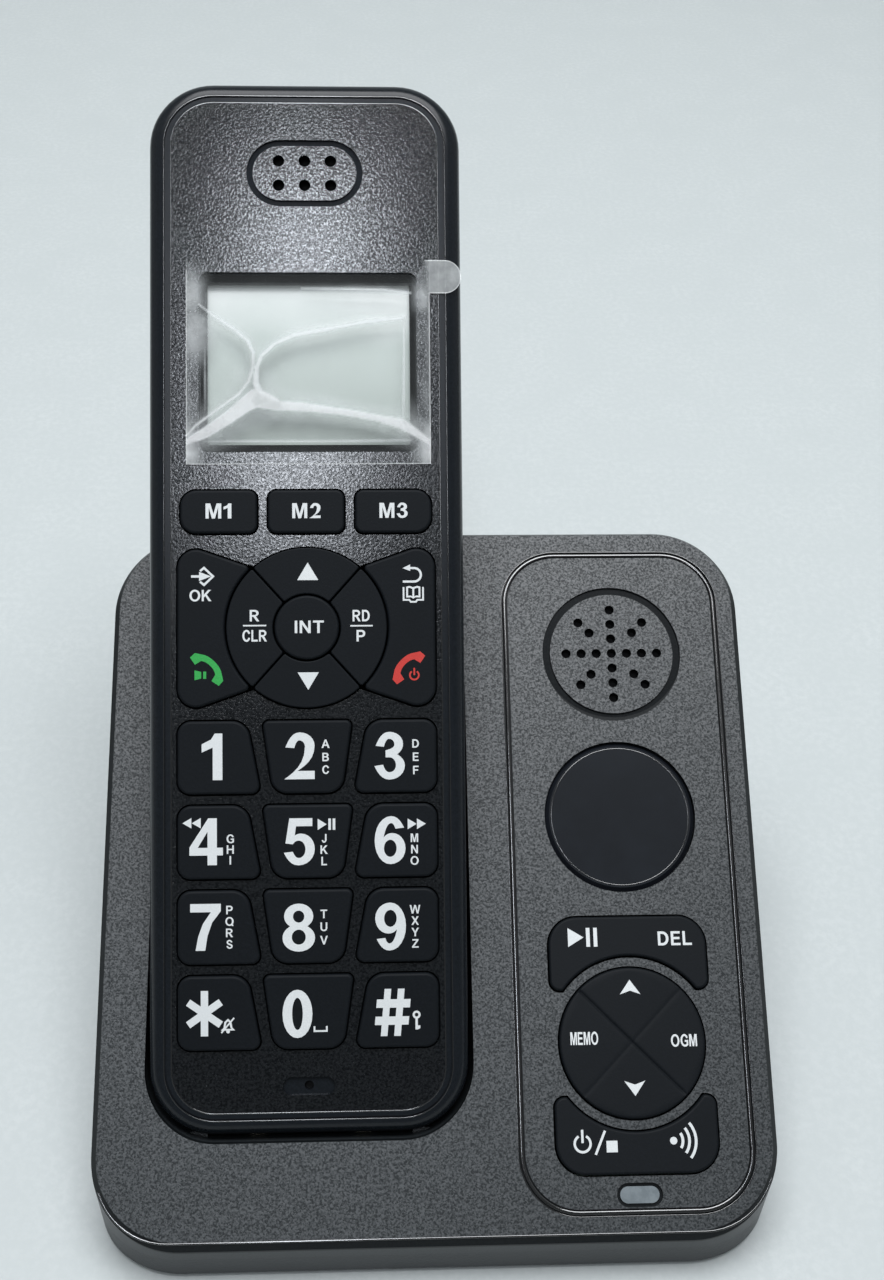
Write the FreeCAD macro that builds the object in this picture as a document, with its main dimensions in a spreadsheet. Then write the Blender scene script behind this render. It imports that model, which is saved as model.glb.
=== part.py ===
import FreeCAD, Part
import math
import os
import Sketcher

# A cordless telephone with an answering machine in its charging base.
# The row frame: +X to the right, +Y to the back, +Z up. The origin is the centre of the
# base's footprint, on the desk. Lengths are millimetres, angles are degrees.

doc = FreeCAD.newDocument("answering_machine")
sheet = doc.addObject("Spreadsheet::Sheet", "Sizes")
Vector = FreeCAD.Vector
X_AXIS, Z_AXIS = Vector(1, 0, 0), Vector(0, 0, 1)


# ------------------------------------------------------------------ sizes and formulas

class Size:
    """A number that remembers the spreadsheet formula it comes from."""

    def __init__(self, value, formula):
        self.value = float(value)
        self.formula = formula

    def __add__(self, other):
        other = size_of(other)
        return Size(self.value + other.value, f"({self.formula} + {other.formula})")

    def __sub__(self, other):
        other = size_of(other)
        return Size(self.value - other.value, f"({self.formula} - {other.formula})")

    def __mul__(self, other):
        other = size_of(other)
        return Size(self.value * other.value, f"({self.formula} * {other.formula})")

    def __truediv__(self, other):
        other = size_of(other)
        return Size(self.value / other.value, f"({self.formula} / {other.formula})")

    def __neg__(self):
        return self * -1

    def __radd__(self, other):
        return size_of(other) + self

    def __rsub__(self, other):
        return size_of(other) - self

    def __rmul__(self, other):
        return size_of(other) * self


def size_of(thing):
    """Any number as a Size."""
    return thing if isinstance(thing, Size) else Size(thing, f"({float(thing):g})")


def sine(angle):
    return Size(math.sin(math.radians(angle.value)), f"sin({angle.formula})")


def cosine(angle):
    return Size(math.cos(math.radians(angle.value)), f"cos({angle.formula})")


def root(number):
    return Size(math.sqrt(number.value), f"sqrt({number.formula})")


def driving(row, name, value):
    """Write one driving dimension to a row of the sheet, under its own name."""
    sheet.set(f"A{row}", name)
    sheet.set(f"B{row}", str(value))
    sheet.setAlias(f"B{row}", name)
    return Size(value, f"Sizes.{name}")


def bind(thing, **sizes):
    """Bind properties of a document object to formulas of the sheet."""
    for name, value in sizes.items():
        value = size_of(value)
        setattr(thing, name, value.value)
        thing.setExpression(name, value.formula)
    return thing


class Frame:
    """A tilted plane to lay pieces on: x across, y up the slope, z out of it."""

    def __init__(self, x, y, z, tilt):
        self.x, self.y, self.z, self.tilt = size_of(x), size_of(y), size_of(z), size_of(tilt)

    def point(self, x, y, z):
        """The row-frame place of a point given on this plane."""
        x, y, z = size_of(x), size_of(y), size_of(z)
        return (self.x + x,
                self.y + y * cosine(self.tilt) - z * sine(self.tilt),
                self.z + y * sine(self.tilt) + z * cosine(self.tilt))

    def turned(self, x, y, z, angle):
        """Another plane through a point of this one, tilted further by an angle."""
        return Frame(*self.point(x, y, z), self.tilt + angle)

    def place(self, thing, x=0, y=0, z=0):
        spot = self.point(x, y, z)
        thing.Placement = FreeCAD.Placement(
            Vector(*[value.value for value in spot]), FreeCAD.Rotation(X_AXIS, self.tilt.value))
        for axis, value in zip("xyz", spot):
            thing.setExpression(f"Placement.Base.{axis}", value.formula)
        if abs(self.tilt.value) > 0:
            thing.setExpression("Placement.Rotation.Angle", self.tilt.formula)
        return thing

    def local(self, point):
        """A row-frame point in this plane's own coordinates."""
        here = FreeCAD.Placement(Vector(self.x.value, self.y.value, self.z.value),
                                 FreeCAD.Rotation(X_AXIS, self.tilt.value))
        return here.inverse().multVec(point)


# ------------------------------------------------------------------ ways of making shapes

def rounded_sketch(sketch, corners, grow=0):
    """Draw a closed outline of straight sides and round corners, fully constrained.

    Each corner is (x, y, radius, outward x, outward y), anticlockwise. A margin moves a
    corner outwards along its two outward signs and adds to its radius.
    """
    spots = []
    for x, y, radius, out_x, out_y in corners:
        spots.append((size_of(x) + out_x * size_of(grow), size_of(y) + out_y * size_of(grow),
                      size_of(radius) + grow))
    points = [Vector(x.value, y.value, 0) for x, y, radius in spots]
    count = len(points)
    starts, ends, centres = [], [], []
    for index, corner in enumerate(points):
        back = (points[index - 1] - corner).normalize()
        onward = (points[(index + 1) % count] - corner).normalize()
        half = back.getAngle(onward) / 2
        radius = spots[index][2].value
        starts.append(corner + back * (radius / math.tan(half)))
        ends.append(corner + onward * (radius / math.tan(half)))
        centres.append(corner + (back + onward).normalize() * (radius / math.sin(half)))
    sides = [Part.LineSegment(ends[index], starts[(index + 1) % count]) for index in range(count)]
    arcs = []
    for index in range(count):
        first, last = starts[index] - centres[index], ends[index] - centres[index]
        circle = Part.Circle(centres[index], Z_AXIS, spots[index][2].value)
        arcs.append(Part.ArcOfCircle(circle, math.atan2(first.y, first.x), math.atan2(last.y, last.x)))
    sketch.addGeometry(sides + arcs, False)
    sketch.addGeometry([Part.Point(corner) for corner in points], True)
    rules, formulas = [], {}
    for index in range(count):
        side, arc, corner = index, count + index, 2 * count + index
        x, y, radius = spots[index]
        formulas[len(rules)] = x.formula
        rules.append(Sketcher.Constraint("DistanceX", -1, 1, corner, 1, x.value))
        formulas[len(rules)] = y.formula
        rules.append(Sketcher.Constraint("DistanceY", -1, 1, corner, 1, y.value))
        formulas[len(rules)] = radius.formula
        rules.append(Sketcher.Constraint("Radius", arc, radius.value))
        before = (index - 1) % count
        rules.append(Sketcher.Constraint("PointOnObject", corner, 1, before))
        rules.append(Sketcher.Constraint("PointOnObject", corner, 1, side))
        rules.append(Sketcher.Constraint("Tangent", before, 2, arc, 1))
        rules.append(Sketcher.Constraint("Tangent", arc, 2, side, 1))
    sketch.addConstraint(rules)
    for index, formula in formulas.items():
        sketch.setExpression(f"Constraints[{index}]", formula)
    return sketch


def round_sketch(sketch, x, y, radius):
    """Draw one circle, fully constrained."""
    x, y, radius = size_of(x), size_of(y), size_of(radius)
    sketch.addGeometry(Part.Circle(Vector(x.value, y.value, 0), Z_AXIS, radius.value), False)
    sketch.addConstraint([Sketcher.Constraint("DistanceX", -1, 1, 0, 3, x.value),
                          Sketcher.Constraint("DistanceY", -1, 1, 0, 3, y.value),
                          Sketcher.Constraint("Radius", 0, radius.value)])
    for index, value in enumerate((x, y, radius)):
        sketch.setExpression(f"Constraints[{index}]", value.formula)
    return sketch


def rectangle(half_width, bottom, top, radius, middle=0):
    """The corners of an upright rectangle with round corners, for rounded_sketch."""
    left, right = middle - half_width, middle + half_width
    return [(left, bottom, radius, -1, -1), (right, bottom, radius, 1, -1),
            (right, top, radius, 1, 1), (left, top, radius, -1, 1)]


def sketch_in(frame, name, z=0):
    """A free sketch on a frame's plane, at a level above it."""
    return frame.place(doc.addObject("Sketcher::SketchObject", name), z=z)


def extrusion(name, base, length, back=0):
    """A solid between an outline and the same outline further along its normal."""
    solid = doc.addObject("Part::Extrusion", name)
    solid.Base, solid.DirMode, solid.Solid = base, "Normal", True
    return bind(solid, LengthFwd=length, LengthRev=back)


def box(name, frame, x, y, z, length, width, height):
    """A block from its lowest corner."""
    return frame.place(bind(doc.addObject("Part::Box", name), Length=length, Width=width,
                            Height=height), x, y, z)


def cylinder(name, frame, x, y, z, radius, height):
    """A round block standing on its lower end."""
    return frame.place(bind(doc.addObject("Part::Cylinder", name), Radius=radius, Height=height), x, y, z)


def fuse(name, shapes):
    joined = doc.addObject("Part::MultiFuse", name)
    joined.Shapes = shapes
    return joined


def group(name, shapes):
    """Separate solids under one name."""
    together = doc.addObject("Part::Compound", name)
    together.Links = shapes
    return together


def cut(name, base, tools):
    result = doc.addObject("Part::Cut", name)
    result.Base = base
    result.Tool = tools[0] if len(tools) == 1 else group(name + "_tools", tools)
    return result


def common(name, first, second):
    result = doc.addObject("Part::MultiCommon", name)
    result.Shapes = [first, second]
    return result


def edge_numbers(shape, test):
    return [number for number, edge in enumerate(shape.Edges, 1) if test(edge)]


def probe_points(edge):
    """Both ends and the middle of an edge."""
    first, last = edge.ParameterRange
    return [edge.valueAt(first), edge.valueAt((first + last) / 2), edge.valueAt(last)]


def at_level(frame, level):
    """A test for edges that lie in a frame's plane at one level."""
    return lambda edge: all(abs(frame.local(point).z - size_of(level).value) < 1e-4
                            for point in probe_points(edge))


def dressed(kind, name, base, size, test):
    """Round (Part::Fillet) or bevel (Part::Chamfer) the edges that pass a test."""
    doc.recompute()
    finish = doc.addObject(kind, name)
    finish.Base = base
    finish.Edges = [(number, size_of(size).value, size_of(size).value)
                    for number in edge_numbers(base.Shape, test)]
    return finish


# ------------------------------------------------------------------ driving dimensions

# The base's outer form: a wedge whose whole top is one sloping face.
base_width = 103
face_length = 111.7
handset_margin = 8.4
middle_margin = 7.25
panel_margin = 3.45
face_corner = 13.5
base_slope = 30
front_height = 9
face_bevel = 0.9
base_wall = 2
floor_thickness = 1.8
seam_height = 5.7
lip_height = 1.2
lip_thickness = 0.9
fit_gap = 0.1

# What the base stands on and is held together by.
foot_height = 1
foot_radius = 5
foot_seat = 0.5
foot_inset = 13.5
post_radius = 2.5
post_bite = 0.6
boss_radius = 3.4
post_spacing = 68
base_screw_radius = 1.25
base_screw_length = 8
base_screw_head_radius = 2.4
base_screw_head_height = 1.8
base_screw_seat = 3

# The handset's outer form and how it lies in the base.
handset_length = 160.8
handset_slim = 3.5
handset_thickness = 24
handset_corner = 10
handset_edge = 2.4
handset_back_edge = 8
tail_thickness = 15
tail_slope = 19
tail_bend = 40
handset_wall = 1.8
handset_seam = 9
handset_up = 15.4
handset_lean = 13.7
cradle_gap = 0.85
cradle_wall = 1.6
cradle_headroom = 4
rest_rib_width = 3
rest_rib_height = 5
rest_rib_depth = 3.6
rest_rib_spacing = 34

# The control panel on the base's face.
panel_bottom = 3.2
panel_end = 4
light_to_key = 1.71
key_to_display = 3.94
display_to_grille = 3.6
panel_corner = 9
panel_groove_width = 1
panel_groove_depth = 0.45
grille_ring_outer = 11.4
grille_ring_inner = 10.15
grille_ring_depth = 0.4
grille_hole = 0.775
grille_pitch = 2.5
loudspeaker_side = 3.95
loudspeaker_height = 6
magnet_share = 0.6
housing_wall = 1.2
housing_height = 4
display_radius = 12
display_ledge = 1.6
display_lens_thickness = 1.4
display_lens_bevel = 0.65
display_recess = 1.6
base_key_side = 5.65
scroll_side = 1.1
scroll_web = 1.3
base_key_reach = 19.05
base_key_start = 7.85
base_key_corner = 4.4
base_key_tip = 1.5
light_up = 6.1
light_width = 5.9
light_height = 2.4
light_surround = 0.5
light_recess = 0.5

# How keys stand, travel and tilt. Depths are below the face that the key stands in.
key_gap = 0.25
key_proud = 0.6
key_edge = 0.4
key_tip = 0.6
petal_tip = 0.35
key_travel = 0.8
key_flange = 0.45
key_flange_thickness = 0.7
flange_corner = 0.3
rocker_flange = 1.5
key_play = 0.1
rocker_lift = 0.6
nub_radius = 1.6
membrane_thickness = 0.9
board_thickness = 1.6
board_corner = 2
board_clearance = 1
microphone_radius = 2
microphone_height = 1.6
microphone_inset = 10
base_board_depth = 5.8
handset_board_depth = 5.3

# The base's board, and the sockets in its back.
base_board_bottom = 4.6
board_side = 4.15
board_to_speaker = 1.25
power_jack_x = 25
line_jack_x = -20
jack_height = 15
power_jack_width = 9
power_jack_rise = 11
power_jack_depth = 13.5
power_bore = 2.9
power_bore_depth = 10
power_pin = 1
power_pin_setback = 1.2
line_jack_width = 14
line_jack_rise = 13
line_jack_depth = 16
line_socket_width = 9.9
line_socket_rise = 7
line_socket_depth = 12.5
line_latch_width = 6.2
line_latch_rise = 1.8
jack_recess = 0.3

# The handset's face.
face_line_inset = 2.4
face_line_width = 0.35
face_line_depth = 0.3
screen_x = 0.45
screen_half_width = 16.75
screen_corner = 1.5
screen_height = 27.8
screen_gap = 5.9
screen_recess = 0.25
screen_lens_thickness = 1
screen_ledge = 1.2
lcd_border = 1.6
film_margin = 1.9
film_thickness = 0.12
film_tab_height = 5.2
film_tab_root = 4.5
film_tab_corner = 2.45
film_tab_root_corner = 0.1
earpiece_width = 17.9
earpiece_gap = 10.3
earpiece_height = 10.4
earpiece_groove = 0.95
earpiece_depth = 0.4
earpiece_hole = 0.9
earpiece_pitch_x = 4
earpiece_pitch_y = 3.8
earpiece_speaker_radius = 7.2
earpiece_speaker_height = 2.6
mouth_up = 7.4
mouth_width = 7.8
mouth_height = 2.7
mouth_depth = 0.5
mouth_hole = 0.7

# The handset's keys.
digit_height = 11
digit_bottom = 12.95
digit_row_gap = 1.7
key_side = 4.5
digit_inner_top = 9.1
digit_inner_bottom = 7
digit_middle_top = 6.8
digit_middle_bottom = 5.2
digit_corner = 2
digit_inner_corner_top = 2.8
digit_inner_corner_bottom = 1.2
digit_middle_corner_top = 0.9
digit_middle_corner_bottom = 2.6
memory_height = 6.6
memory_side = 4.95
memory_between = 1.65
memory_gap = 1.3
memory_corner = 1.3
memory_end_corner = 2.4
cluster_radius = 12.15
cluster_gap = 0.95
cluster_split = 48
intercom_radius = 4.9
wing_half_height = 13.1
wing_waist = 9
wing_waist_x = 7.7
wing_corner = 2.8

# Inside the handset.
handset_board_bottom = 4
handset_board_end = 6.8
handset_board_side = 4
membrane_bottom = 12.2
membrane_side = 3.7
membrane_margin = 0.8
battery_radius = 5.25
battery_length = 43.5
battery_nub = 1
battery_drop = 58.6
battery_gap = 0.3
battery_spring_room = 1.7
leaf_thickness = 0.4
leaf_half_width = 4.2
compartment_wall = 1
door_half_width = 14.4
door_margin = 3
door_thickness = 1.7
ringer_radius = 10
ringer_drop = 30.2
ringer_height = 4
handset_post_radius = 1.9
handset_screw_radius = 0.9
handset_screw_length = 9
handset_screw_head_radius = 1.8
handset_screw_head_height = 1.2
upper_screw_seat = 21
lower_screw_x = 12
upper_screw_side = 6.5
upper_screw_drop = 22.8
lower_screw_up = 9
lower_screw_seat = 15.5
screw_boss_height = 3.5
contact_spacing = 16
contact_width = 2.4
contact_depth = 6.3
contact_thickness = 1.8
contact_leg = 3.8
plate_width = 4
plate_height = 4
plate_thickness = 0.5

# Each of the numbers above goes into the sheet, and its name stands for the sheet's cell
# from here on, so that whatever is made from it follows the cell.
plain_numbers = [(name, value) for name, value in globals().items() if isinstance(value, (int, float))]
for row, (name, value) in enumerate(plain_numbers, 1):
    globals()[name] = driving(row, name, value)

# What stacks along the panel and along the handset's face was measured on a face and a
# handset of these lengths, and stretches with them.
panel_stretch = face_length / 111.7
for name in ("light_up", "light_to_key", "base_key_start", "base_key_reach", "base_key_corner", "key_to_display",
             "display_radius", "display_to_grille", "grille_ring_outer", "grille_ring_inner", "grille_pitch"):
    globals()[name] = globals()[name] * panel_stretch
handset_stretch = handset_length / 160.8
for name in ("mouth_up", "digit_bottom", "digit_height", "digit_row_gap", "cluster_gap", "cluster_radius",
             "intercom_radius", "wing_half_height", "wing_waist", "memory_gap", "memory_height", "screen_gap",
             "screen_height", "earpiece_gap", "earpiece_height"):
    globals()[name] = globals()[name] * handset_stretch

# The base's width is shared out: the handset takes nearly half of it, and the panel what
# the margins leave.
handset_width = base_width / 2 - handset_slim
handset_x = handset_margin + handset_width / 2 - base_width / 2
panel_width = base_width - handset_margin - handset_width - middle_margin - panel_margin
panel_x = base_width / 2 - panel_margin - panel_width / 2
base_key_half_width = panel_width / 2 - base_key_side
scroll_radius = base_key_half_width - scroll_side
loudspeaker_radius = panel_width / 2 - loudspeaker_side

# Up the panel: the light, the keys round the disc, the display and the grille.
panel_top = face_length - panel_end
scroll_up = light_up + light_height / 2 + light_to_key + base_key_reach
display_up = scroll_up + base_key_reach + key_to_display + display_radius
grille_up = display_up + display_radius + display_to_grille + grille_ring_outer
base_board_half_width = panel_width / 2 - board_side
base_board_top = grille_up - loudspeaker_radius - housing_wall - board_to_speaker

# Up the handset: four rows of digits, the round cluster, the memory keys, the screen and
# the earpiece. Inside, the cells hang from the top end.
digit_pitch = digit_height + digit_row_gap
digit_top = digit_bottom + digit_pitch * 3 + digit_height
digit_outer = handset_width / 2 - key_side
wing_reach = handset_width / 2 - key_side
cluster_up = digit_top + cluster_gap + wing_half_height
memory_up = cluster_up + wing_half_height + memory_gap + memory_height / 2
memory_width = (handset_width - memory_side * 2 - memory_between * 2) / 3
memory_pitch = memory_width + memory_between
screen_bottom = memory_up + memory_height / 2 + screen_gap
screen_top = screen_bottom + screen_height
film_tab_reach = handset_width / 2
earpiece_up = screen_top + earpiece_gap + earpiece_height / 2
handset_board_half_width = handset_width / 2 - handset_board_side
handset_board_top = handset_length - handset_board_end
membrane_half_width = handset_width / 2 - membrane_side
membrane_top = memory_up + memory_height / 2 + membrane_margin
battery_bottom = handset_length - battery_drop
ringer_up = battery_bottom - ringer_drop
upper_screw_x = handset_width / 2 - upper_screw_side
upper_screw_up = handset_length - upper_screw_drop


# ------------------------------------------------------------------ frames

base_depth = face_length * cosine(base_slope)
desk = Frame(0, 0, 0, 0)
face = Frame(0, -base_depth / 2, front_height, base_slope)
panel = face.turned(panel_x, 0, 0, 0)
back = Frame(0, base_depth / 2, 0, 90)
handset = face.turned(handset_x, handset_up, 0, handset_lean)

# A span that is surely longer than the whole machine, for cutting blocks.
beyond = handset_length + base_width
sub_parts = {}


def sub_part(label, thing):
    """Register a finished piece under the name of its file."""
    thing.Label = label
    sub_parts[label] = thing
    return thing


def body_on(frame, label):
    """A PartDesign body that lies on a frame."""
    body = doc.addObject("PartDesign::Body", label + "_body")
    frame.place(body)
    return sub_part(label, body)


def body_sketch(body, name, z=0):
    """A sketch on the body's own XY plane, at a level above it."""
    sketch = body.newObject("Sketcher::SketchObject", name)
    plane = [part for part in body.Origin.OriginFeatures if part.Role == "XY_Plane"][0]
    sketch.AttachmentSupport = (plane, [""])
    sketch.MapMode = "FlatFace"
    sketch.AttachmentOffset = FreeCAD.Placement(Vector(0, 0, size_of(z).value), FreeCAD.Rotation())
    sketch.setExpression("AttachmentOffset.Base.z", size_of(z).formula)
    return sketch


def pad(body, sketch, length):
    feature = body.newObject("PartDesign::Pad", sketch.Name + "_pad")
    feature.Profile = sketch
    return bind(feature, Length=length)


def pocket(body, sketch, length):
    feature = body.newObject("PartDesign::Pocket", sketch.Name + "_pocket")
    feature.Profile = sketch
    return bind(feature, Length=length)


def round_top(body, feature, level, radius, kind="PartDesign::Fillet"):
    """Round or bevel the edges that lie at one level of the body."""
    doc.recompute()
    numbers = edge_numbers(feature.Shape, lambda edge: all(
        abs(point.z - level.value) < 1e-4 for point in probe_points(edge)))
    finish = body.newObject(kind, feature.Name + "_edge")
    finish.Base = (feature, [f"Edge{number}" for number in numbers])
    return bind(finish, **{"Radius" if kind.endswith("Fillet") else "Size": radius})


def drop(name, outline):
    """A solid from an outline straight down past the desk."""
    solid = doc.addObject("Part::Extrusion", name)
    solid.Base, solid.DirMode, solid.Dir, solid.Solid = outline, "Custom", -Z_AXIS, True
    return bind(solid, LengthFwd=beyond)


def slab(name, low, high):
    """Everything between two heights above the desk."""
    return box(name, desk, -beyond, -beyond, low, beyond * 2, beyond * 2, high - low)


def offset_of(name, outline, margin):
    """An outline moved outwards by a margin."""
    moved = doc.addObject("Part::Offset2D", name)
    moved.Source = outline
    return bind(moved, Value=margin)


# ------------------------------------------------------------------ the handset's form

def handset_form(name, grow, top):
    """The handset's rounded body grown by a margin, up to a level above its face."""
    grow, top = size_of(grow), size_of(top)
    floor = -(handset_thickness + grow)
    sketch = rounded_sketch(
        sketch_in(handset, name + "_outline", floor),
        rectangle(handset_width / 2, size_of(0), handset_length, handset_corner), grow)
    block = extrusion(name + "_block", sketch, top - floor)
    tail = handset.turned(0, 0, -(tail_thickness + grow / cosine(tail_slope)), -tail_slope)
    wedge = box(name + "_wedge", tail, -beyond, -beyond, -beyond, beyond * 2, beyond * 2, beyond)
    tapered = cut(name + "_tapered", block, [wedge])
    on_floor, on_tail, on_top = at_level(handset, floor), at_level(tail, 0), at_level(handset, top)
    bent = dressed("Part::Fillet", name + "_bent", tapered, tail_bend,
                   lambda edge: on_floor(edge) and on_tail(edge))
    return dressed("Part::Fillet", name + "_form", bent, handset_back_edge + grow,
                   lambda edge: on_side(edge, grow) and not on_top(edge))


def on_side(edge, grow):
    """Whether an edge runs round the handset's side surface, not along its depth."""
    half, low = handset_width.value / 2 + grow.value, -grow.value
    high, corner = handset_length.value + grow.value, handset_corner.value + grow.value
    points = [handset.local(point) for point in probe_points(edge)]
    for point in points:
        past_x = max(abs(point.x) - (half - corner), 0)
        past_y = max(low + corner - point.y, point.y - (high - corner), 0)
        if abs(math.hypot(past_x, past_y) - corner) > 1e-3:
            return False
    run = points[-1] - points[0]
    return math.hypot(run.x, run.y) > 1e-3


handset_solid = handset_form("handset_outside", 0, 0)
handset_hollow = handset_form("handset_inside", -handset_wall, -handset_wall)
cradle_space = handset_form("cradle_space", cradle_gap, cradle_headroom)
cradle_shell = handset_form("cradle_shell", cradle_gap + cradle_wall, cradle_headroom)


# ------------------------------------------------------------------ keys

def flange_top(wall, room):
    """The level of a key flange's upper side under a wall."""
    return -(wall + room)


def key_body(label, frame, corners, wall, room, arc=None):
    """One key: a cap that stands proud of the face, on a flange under the wall.

    corners outline the cap; arc is a circle (x, y, radius) that bites into it.
    """
    body = body_on(frame, label)
    bottom = flange_top(wall, room) - key_flange_thickness
    cap = body_sketch(body, label + "_cap", bottom)
    rounded_sketch(cap, corners)
    feature = pad(body, cap, key_proud - bottom)
    if arc:
        bite = body_sketch(body, label + "_bite", key_proud)
        round_sketch(bite, *arc)
        x, y, radius = [value.value for value in arc]
        feature = round_uprights(
            body, pocket(body, bite, key_proud - bottom), key_tip,
            lambda point: abs(math.hypot(point.x - x, point.y - y) - radius) < 1e-4)
    round_top(body, feature, key_proud, key_edge)
    return body, cap


def round_uprights(body, feature, radius, test):
    """Round the upright edges that pass a test, such as the sharp tips that a bite leaves."""
    doc.recompute()

    def passes(edge):
        first, middle, last = probe_points(edge)
        return math.hypot(first.x - last.x, first.y - last.y) < 1e-4 and test(first)

    tips = body.newObject("PartDesign::Fillet", feature.Name + "_tips")
    tips.Base = (feature, [f"Edge{number}" for number in edge_numbers(feature.Shape, passes)])
    return bind(tips, Radius=radius)


def add_flange(body, label, corners, wall, room):
    """The thin edge under the wall that keeps a key in its opening."""
    bottom = flange_top(wall, room) - key_flange_thickness
    sketch = body_sketch(body, label + "_flange", bottom)
    rounded_sketch(sketch, corners, key_flange)
    return pad(body, sketch, key_flange_thickness)


def opening(name, frame, outline, depth):
    """The cutting tool for a key's opening: its outline and a gap, right through a wall."""
    wide = offset_of(name + "_gap", outline, key_gap)
    return frame.place(extrusion(name + "_opening", wide, depth + key_proud))


# ------------------------------------------------------------------ the base's keys

def base_key(label, side):
    """A two-way key above or below the scroll disc; side is 1 above and -1 below."""
    near, far = scroll_up + side * base_key_start, scroll_up + side * base_key_reach
    half = base_key_half_width
    corners = [(-half, near, base_key_tip, -1, -side), (half, near, base_key_tip, 1, -side),
               (half, far, base_key_corner, 1, side), (-half, far, base_key_corner, -1, side)]
    corners = corners if side > 0 else corners[::-1]
    web = scroll_radius + key_gap + scroll_web
    body, cap = key_body(label, panel, corners, base_wall, rocker_lift,
                         arc=(size_of(0), scroll_up, web + key_gap))
    wing_in, wing_out = half - rocker_flange, half + key_flange
    bottom = flange_top(base_wall, rocker_lift) - key_flange_thickness
    for end in (-1, 1):
        flange = body_sketch(body, f"{label}_flange_{'left' if end < 0 else 'right'}", bottom)
        low, high = (near, far) if side > 0 else (far, near)
        left, right = (wing_in, wing_out) if end > 0 else (-wing_out, -wing_in)
        inset = base_key_corner
        rounded_sketch(flange, [
            (left, low + inset, flange_corner, -1, -1), (right, low + inset, flange_corner, 1, -1),
            (right, high - inset, flange_corner, 1, 1), (left, high - inset, flange_corner, -1, 1)])
        pad(body, flange, key_flange_thickness)
    hole = opening(label, panel, cap, base_wall - bottom)
    core = cylinder(label + "_web", panel, 0, scroll_up, -base_board_depth, web,
                    base_board_depth + key_proud * 2)
    return cut(label + "_hole", hole, [core])


play_hole = base_key("play_delete_key", 1)
stop_hole = base_key("stop_page_key", -1)

# The four-way disc tilts on a small washer in its middle.
scroll_bottom = flange_top(base_wall, rocker_lift) - key_flange_thickness
scroll = body_on(panel, "scroll_disc")
scroll_cap = body_sketch(scroll, "scroll_cap", scroll_bottom)
round_sketch(scroll_cap, 0, scroll_up, scroll_radius)
scroll_pad = pad(scroll, scroll_cap, key_proud - scroll_bottom)
round_top(scroll, scroll_pad, key_proud, key_edge)
scroll_flange = body_sketch(scroll, "scroll_flange", scroll_bottom)
round_sketch(scroll_flange, 0, scroll_up, scroll_radius + key_gap + key_flange)
pad(scroll, scroll_flange, key_flange_thickness)

nub_top = -(base_board_depth - membrane_thickness - key_travel)
scroll_pivot = body_on(panel, "scroll_pivot")
pivot_sketch = body_sketch(scroll_pivot, "scroll_pivot_washer", nub_top + key_play)
round_sketch(pivot_sketch, 0, scroll_up, nub_radius)
pad(scroll_pivot, pivot_sketch, scroll_bottom - nub_top - key_play * 2)


# ------------------------------------------------------------------ the base's covers

face_outline = rounded_sketch(
    sketch_in(face, "face_outline"), rectangle(base_width / 2, size_of(0), face_length, face_corner))
inner_face = Frame(0, face.y, face.z - base_wall / cosine(base_slope), base_slope)


def inner_outline(name, margin):
    """The outline of the base's inside, moved in by a margin."""
    return rounded_sketch(
        sketch_in(inner_face, name),
        rectangle(base_width / 2, size_of(0), face_length, face_corner), -(base_wall + margin))


base_block = drop("base_block", face_outline)
base_hollow = drop("base_hollow", inner_outline("base_inner_outline", size_of(0)))
top_block = dressed("Part::Chamfer", "top_block", base_block, face_bevel, at_level(face, 0))
above_seam = slab("above_seam", seam_height, beyond)
top_outside = common("top_outside", top_block, above_seam)
top_shell = cut("top_shell", top_outside, [base_hollow])
cradle_scoop = common("cradle_scoop", cradle_shell, top_block)

post_x = base_width / 2 - base_wall - post_radius + post_bite
post_places = [(x, y * post_spacing / 2) for y in (-1, 1) for x in (-post_x, post_x)]
posts = [common(f"post_{number}", top_outside, cylinder(
    f"post_rod_{number}", desk, x, y, seam_height, post_radius, beyond))
    for number, (x, y) in enumerate(post_places)]
pilots = [cylinder(f"post_pilot_{number}", desk, x, y, base_screw_seat, base_screw_radius,
                   base_screw_length + key_play) for number, (x, y) in enumerate(post_places)]

housing_radius = loudspeaker_radius + fit_gap
housing = cut("loudspeaker_housing",
              cylinder("housing_outside", panel, 0, grille_up, -(base_wall + housing_height),
                       housing_radius + housing_wall, housing_height + base_wall / 2),
              [cylinder("housing_inside", panel, 0, grille_up, -(base_wall + housing_height * 2),
                        housing_radius, housing_height * 2)])

# The speaker's holes: one in the middle, then rings of them along the eight directions.
grille_holes = [(size_of(0), size_of(0))]
for ring in (1, 2, 3):
    for step in range(8):
        if ring == 1 and step % 2:
            continue
        angle = math.radians(45 * step)
        grille_holes.append((grille_pitch * ring * math.cos(angle), grille_pitch * ring * math.sin(angle)))
grille_tools = [cylinder(f"grille_hole_{number}", panel, x, grille_up + y, -base_wall * 2,
                         grille_hole, base_wall * 3)
                for number, (x, y) in enumerate(grille_holes)]
grille_groove = cut("grille_groove",
                    cylinder("grille_groove_outside", panel, 0, grille_up, -grille_ring_depth,
                             grille_ring_outer, grille_ring_depth * 2),
                    [cylinder("grille_groove_inside", panel, 0, grille_up, -grille_ring_depth * 2,
                              grille_ring_inner, grille_ring_depth * 4)])

panel_outline = rounded_sketch(
    sketch_in(panel, "panel_outline", -panel_groove_depth),
    rectangle(panel_width / 2, panel_bottom, panel_top, panel_corner))
panel_groove = cut("panel_groove", extrusion("panel_groove_outside", panel_outline, panel_groove_depth * 2),
                   [extrusion("panel_groove_inside",
                              offset_of("panel_groove_line", panel_outline, -panel_groove_width),
                              panel_groove_depth * 4, panel_groove_depth)])

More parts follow.
